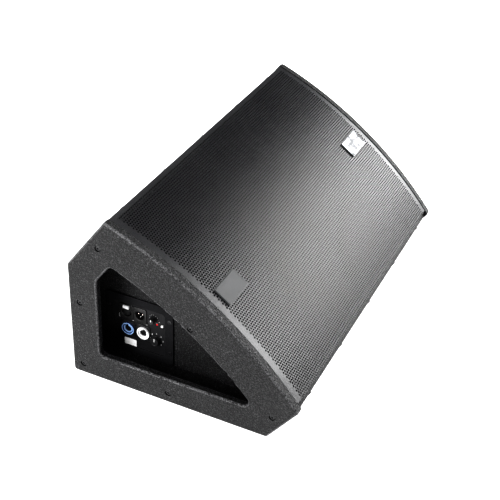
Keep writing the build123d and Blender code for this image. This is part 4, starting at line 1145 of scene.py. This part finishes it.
class WEDGE_OT_signal_sockets(bpy.types.Operator):
    """Makes the three-pole signal input and link sockets"""

    bl_idname = "wedge.signal_sockets"
    bl_label = "Signal sockets"

    def execute(self, context):
        entry = bmesh.new()
        into(entry, pierced(*SOCKET_FLANGE, 10.4, 0, 2.0, 0.5))
        into(entry, ring(10.5, 9.5, -10, 2.0, 0.35))
        into(entry, turned((0, -10), (10.5, -10), (10.5, -9.6), (0, -9.6)))
        into(entry, self.insert(7.6, 1.0, -10))
        window = slab(12.5, 6.9, -3, 5, 1.6)
        bmesh.ops.translate(window, vec=(0, LATCH_RISE, 0), verts=window.verts)
        entry = carved(entry, window)
        finished(
            entry, "signal_entry", "connector_black", on_panel(FASCIA_DEPTH, SIGNAL_IN), ("signal_input",)
        )
        contacts = bmesh.new()
        for offset in PIN_OFFSETS:
            into(contacts, ring(1.5, 1.15, -8, 0.75, 0.1, 20), set_at(*offset))
        finished(contacts, "entry_contacts", "pin_silver", on_panel(FASCIA_DEPTH, SIGNAL_IN))

        exit_cup = bmesh.new()
        into(exit_cup, pierced(*SOCKET_FLANGE, 9.9, 0, 2.0, 0.5))
        into(exit_cup, ring(10.0, 8.6, -13, 2.0, 0.6))
        into(exit_cup, turned((0, -15), (10.0, -15), (10.0, -12.9), (0, -12.9)))
        into(exit_cup, slab(2.6, 1.6, -12, 0.6, 0.3), set_at(0, 8.0))
        finished(
            exit_cup, "signal_exit", "connector_black", on_panel(FASCIA_DEPTH, SIGNAL_LINK), ("link_output",)
        )
        pins = bmesh.new()
        for offset in PIN_OFFSETS:
            pin = turned((0, -15), (1.2, -15), (1.2, -1.9), (1.0, -1.35), (0.6, -1.05), (0, -1.0), steps=20)
            into(pins, pin, set_at(*offset))
        finished(pins, "exit_pins", "pin_silver", on_panel(FASCIA_DEPTH, SIGNAL_LINK), ("link_pins",))

        tab = slab(12, 6.4, 0.2, 4.2, 1.5, 0.8)
        top = max(tab.faces, key=lambda face: (round(face.calc_center_median().z, 3), face.calc_area()))
        bmesh.ops.inset_region(tab, faces=[top], thickness=0.9, depth=-0.5)
        latch_at = (SIGNAL_IN[0], SIGNAL_IN[1] + LATCH_RISE)
        finished(
            tab,
            "push_tab",
            "latch_silver",
            on_panel(FASCIA_DEPTH, latch_at),
            ("input_latch",),
            body="latch_tab",
        )
        return {"FINISHED"}

    def insert(self, radius, front, back):
        """Round block with three contact cups, each holding a black disc near the face that stands in for the
        shade of a deep hole.
        """
        bm = bmesh.new()
        bmesh.ops.create_circle(bm, cap_ends=True, segments=48, radius=radius)
        block = stood_up(bm, back, front, 0.4)
        cups = bmesh.new()
        into(cups, block)
        for offset in PIN_OFFSETS:
            into(cups, ring(2.0, 1.5, front - 0.3, front + 0.05, 0.05, 20), set_at(*offset))
            low, high = front - 0.2, front + 0.02
            # a black disc just inside each cup, put where a deep hole's shade would be: painted shade
            dark = turned((0, low), (1.2, low), (1.2, high), (0, high), steps=20)
            into(cups, dark, set_at(*offset))
        return cups


class WEDGE_OT_mains_sockets(bpy.types.Operator):
    """Makes the blue mains inlet and the white mains outlet"""

    bl_idname = "wedge.mains_sockets"
    bl_label = "Mains sockets"

    def execute(self, context):
        plates = bmesh.new()
        for at in (MAINS_IN, MAINS_LINK):
            offset = set_at(at[0] - MAINS_IN[0], at[1] - MAINS_IN[1])
            into(plates, pierced(*SOCKET_FLANGE, 12.1, 0, 2.0, 0.5), offset)
        finished(plates, "mains_plates", "socket_black", on_panel(FASCIA_DEPTH, MAINS_IN), ("mains_flanges",))
        self.socket("inlet", MAINS_IN, 25, "inlet_blue", "inlet_pale", "power_inlet")
        self.socket("outlet", MAINS_LINK, -25, "outlet_white", "outlet_white", "power_outlet")
        return {"FINISHED"}

    def socket(self, name, at, lean, shell, inner, node):
        """Twist-lock socket: shell, keyed wall and dark middle."""
        place = on_panel(MAINS_FRONT, at, lean)
        barrel = turned(
            (0, -24), (12, -24), (12, -0.7), (11.8, -0.2), (11.3, 0), (10.4, 0), (9.9, -0.2), (9.8, -0.7),
            (9.8, -14), (0, -14), steps=64,
        )
        keys = bmesh.new()
        into(keys, barrel)
        for angle in (70, 190, 310):
            turn = Matrix.Rotation(math.radians(angle), 4, "Z")
            into(keys, slab(1.4, 3.0, -14, -1.0, 0.3, 0.3), turn @ set_at(9.4, 0))
        finished(keys, f"{name}_shell", shell, place, (node,))
        wall = swept(((6.6, -14), (8.5, -14), (8.5, -1.5), (8.2, -1.2), (6.9, -1.2), (6.6, -1.5)), 125, 415)
        into(wall, ring(11.95, 10.3, -1.2, 0.12, 0.3))
        finished(wall, f"{name}_wall", inner, place)
        middle = swept(((2.6, -14), (6.2, -14), (6.2, -3.0), (5.8, -2.6), (3.0, -2.6), (2.6, -3.0)), 112, 428)
        into(middle, turned((0, -14), (9.7, -14), (9.7, -8), (0, -8)))
        into(middle, slab(1.1, 3.4, -10.5, -3.4, 0.2, 0.2))
        finished(middle, f"{name}_middle", "socket_black", place)


class WEDGE_OT_controls(bpy.types.Operator):
    """Makes the level and preset knobs, the lift switch and the lamps"""

    bl_idname = "wedge.controls"
    bl_label = "Controls"

    def execute(self, context):
        self.knob("level", LEVEL_AT, 6.0, 11.0, "level_control", "level_knob", 14)
        self.knob("preset", PRESET_AT, 8.5, 9.0, "preset_control", "preset_knob", 18)
        cap = slab(4, 4, -5, 1.9, 0.3, 0.35)
        for step in (-1.2, 0.0, 1.2):
            into(cap, slab(3.4, 0.45, 1.6, 2.2, 0.1, 0.12), set_at(0, step))
        finished(
            cap,
            "lift_cap",
            "switch_white",
            on_panel(FASCIA_DEPTH, (LIFT_AT[0], LIFT_AT[1] + 2)),
            ("lift_switch",),
            body="lift_slider",
        )
        lamps = (("limit_lens", LIMIT_LAMP, "lamp_red"), ("signal_lens", SIGNAL_LAMP, "lamp_dark"))
        for name, at, finish in lamps:
            dome = ((1.5, 0.1), (1.4, 0.42), (1.1, 0.65), (0.6, 0.77), (0, 0.8))
            lens = turned((0, -15), (1.5, -15), *dome, steps=24)
            finished(lens, name, finish, on_panel(FASCIA_DEPTH, at), ("status_lamps",))
        return {"FINISHED"}

    def knob(self, name, at, radius, height, body, node, flutes):
        """Fluted push-on knob on its shaft, with a white pointer."""
        top = radius - height * math.tan(math.radians(3))
        grip = turned(
            (0, -10.5), (3, -10.5), (3, 0), (radius - 0.3, 0), (radius, 0.3), (radius - 0.03, 1.3),
            (radius - 0.25, 1.7), (top + 0.05, height - 1.3), (top - 0.15, height - 0.55),
            (top - 0.55, height - 0.15), (top - 1.1, height), (top - 1.6, height), (top - 1.9, height - 0.25),
            (0, height - 0.25), steps=flutes * 6,
        )
        for vert in grip.verts:
            if vert.co.xy.length > top - 0.3 and 1.5 < vert.co.z < height - 0.4:
                angle = math.atan2(vert.co.y, vert.co.x)
                vert.co.xy *= 1 - 0.055 * max(0.0, math.cos(flutes * angle))
        place = on_panel(FASCIA_DEPTH - 0.5, at)
        finished(grip, f"{name}_grip", "knob_black", place, (node,), body=body)
        pointer = slab(1.0, top - 1.2, height - 0.4, height + 0.02, 0.3)
        bmesh.ops.translate(pointer, vec=(0, (top - 1.2) / 2 + 0.8, 0), verts=pointer.verts)
        finished(pointer, f"{name}_pointer", "print_white", place, body=body)


class WEDGE_OT_suspension(bpy.types.Operator):
    """Makes the cone's cloth surround and spider, each in sectors"""

    bl_idname = "wedge.suspension"
    bl_label = "Cone suspension"

    sectors = 16

    def execute(self, context):
        roll = [(164, 5), (173, 5), (173, 4), *self.bow((163, 4), (155, 1), 4.5), (150.6, 1), (150.6, 2)]
        roll += self.bow((154, 2), (164, 5), 4.7)[:-1]
        ripples = [(radius, 1.2 * math.sin(math.tau * (radius - 46) / 12)) for radius in range(46, 71)]
        above = [(39.2, 0.8), *[(radius, 0.8 + rise) for radius, rise in ripples], (84, 0.8)]
        below = [(84, 0), *[(radius, rise) for radius, rise in reversed(ripples)], (39.2, 0)]
        spider = [(radius, rise - 80) for radius, rise in above + below]
        self.ring_of_cloth("surround", "woofer_surround", "roll_cloth", roll, 151, 160.8)
        self.ring_of_cloth("spider", "woofer_spider", "spider_cloth", spider, 41, 68)
        return {"FINISHED"}

    def bow(self, first, last, height):
        """Points from first to last along a raised half wave."""
        (radius, low), (reach, high) = first, last
        shares = [step / 10 for step in range(11)]
        rise = [height * math.sin(math.pi * share) for share in shares]
        return [(radius + (reach - radius) * t, low + (high - low) * t + up) for t, up in zip(shares, rise)]

    def ring_of_cloth(self, name, node, finish, profile, moving, still):
        """Ring of cloth in sectors, which ride on no body; moving and still, the radii inside and outside
        which the cloth would follow the cone and the frame, are not used.
        """
        place = aimed(on_face(CHORD / 2, BAFFLE_BELOW), WORLD_OUT_FACE)
        step = 360 / self.sectors
        for index in range(self.sectors):
            sector = swept(profile, (index - 0.5) * step, (index + 0.5) * step, 5)
            piece = finished(sector, f"{name}_{index + 1}", finish, place, (node,), body=None, weighted=False)
            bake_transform(piece)


class WEDGE_OT_soft_pieces(bpy.types.Operator):
    """Makes the foam behind the grille and the wadding in the cabinet"""

    bl_idname = "wedge.soft_pieces"
    bl_label = "Foam and wadding"

    def execute(self, context):
        low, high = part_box("grille_foam")
        radius = ARC_RADIUS - PROUD - 0.4
        length = 2 * radius * math.asin((CHORD / 2 - 17.9) / radius)
        thickness = 4.6
        foam = self.cushion((high.x - low.x) / MM - 0.4, length, thickness, 4, 96, 60, 0.35)
        for vert in foam.verts:
            angle = vert.co.y / radius
            reach = radius - thickness + vert.co.z
            below = ARC_RADIUS - CROWN - reach * math.cos(angle)
            vert.co = on_face(CHORD / 2 + reach * math.sin(angle), below, vert.co.x) / MM
        sheet = finished(foam, "foam_sheet", "foam_black", nodes=("grille_foam",), weighted=False)

        low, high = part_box("damping_pads")
        width = (high.x - low.x) / MM - 1
        wall = Vector((0, high.y, UNDERSIDE + 107 * MM))
        floor = Vector((0, REAR - (BASE_LENGTH - 70) * MM, low.z))
        places = (
            ("wall_wadding", 129, aimed(wall, (0, -1, 0))),
            ("floor_wadding", 59, aimed(floor, (0, 0, 1))),
        )
        for name, height, place in places:
            pad = self.cushion(width, height, 14.6, 9, 80, 24, 1.1)
            piece = finished(pad, name, "wadding", place, ("damping_pads",), weighted=False)
        return {"FINISHED"}

    def cushion(self, width, length, thickness, crown, columns, rows, waves):
        """Soft crowned sheet lying on z = 0, its sides pulled in and its surface slightly uneven."""
        bm = bmesh.new()
        bmesh.ops.create_grid(bm, x_segments=columns, y_segments=rows, size=0.5)
        bmesh.ops.scale(bm, vec=(width, length, 1), verts=bm.verts)
        stood_up(bm, 0, 1)
        for vert in bm.verts:
            across = 2 * abs(vert.co.x) / width
            down = 2 * abs(vert.co.y) / length
            edge = min((1 - across) * width / 2, (1 - down) * length / 2)
            swell = min(1.0, edge / crown)
            rise = math.sqrt(max(0.0, 1 - (1 - swell) ** 2))
            if vert.co.z > 0.5:
                uneven = waves * ripple(vert.co / 30)
                vert.co.z = (thickness - waves) * (0.35 + 0.65 * rise) + uneven * rise
            vert.co.x *= 1 - 0.012 * (1 - down**2) * across
            vert.co.y *= 1 - 0.012 * (1 - across**2) * down
        return bm


OPERATORS = (
    WEDGE_OT_stage,
    WEDGE_OT_finishes,
    WEDGE_OT_grille,
    WEDGE_OT_badges,
    WEDGE_OT_fasteners,
    WEDGE_OT_feet,
    WEDGE_OT_amplifier_plate,
    WEDGE_OT_signal_sockets,
    WEDGE_OT_mains_sockets,
    WEDGE_OT_controls,
    WEDGE_OT_suspension,
    WEDGE_OT_soft_pieces,
)


class WEDGE_PT_panel(bpy.types.Panel):
    """Lists the steps that make the wedge"""

    bl_idname = "WEDGE_PT_panel"
    bl_label = "Stage Monitor Wedge"
    bl_space_type = "VIEW_3D"
    bl_region_type = "UI"
    bl_category = "Wedge"

    def draw(self, context):
        for name in WedgeSettings.__annotations__:
            self.layout.prop(sizes(context), name)
        for operator in OPERATORS:
            self.layout.operator(operator.bl_idname)


CLASSES = (WedgeSettings, *OPERATORS, WEDGE_PT_panel)


def register():
    for entry in CLASSES:
        bpy.utils.register_class(entry)
    bpy.types.Scene.wedge = PointerProperty(type=WedgeSettings)


def unregister():
    del bpy.types.Scene.wedge
    for entry in reversed(CLASSES):
        bpy.utils.unregister_class(entry)


def main():
    register()
    for operator in OPERATORS:
        group, step = operator.bl_idname.split(".")
        getattr(getattr(bpy.ops, group), step)()


if __name__ == "__main__":
    main()
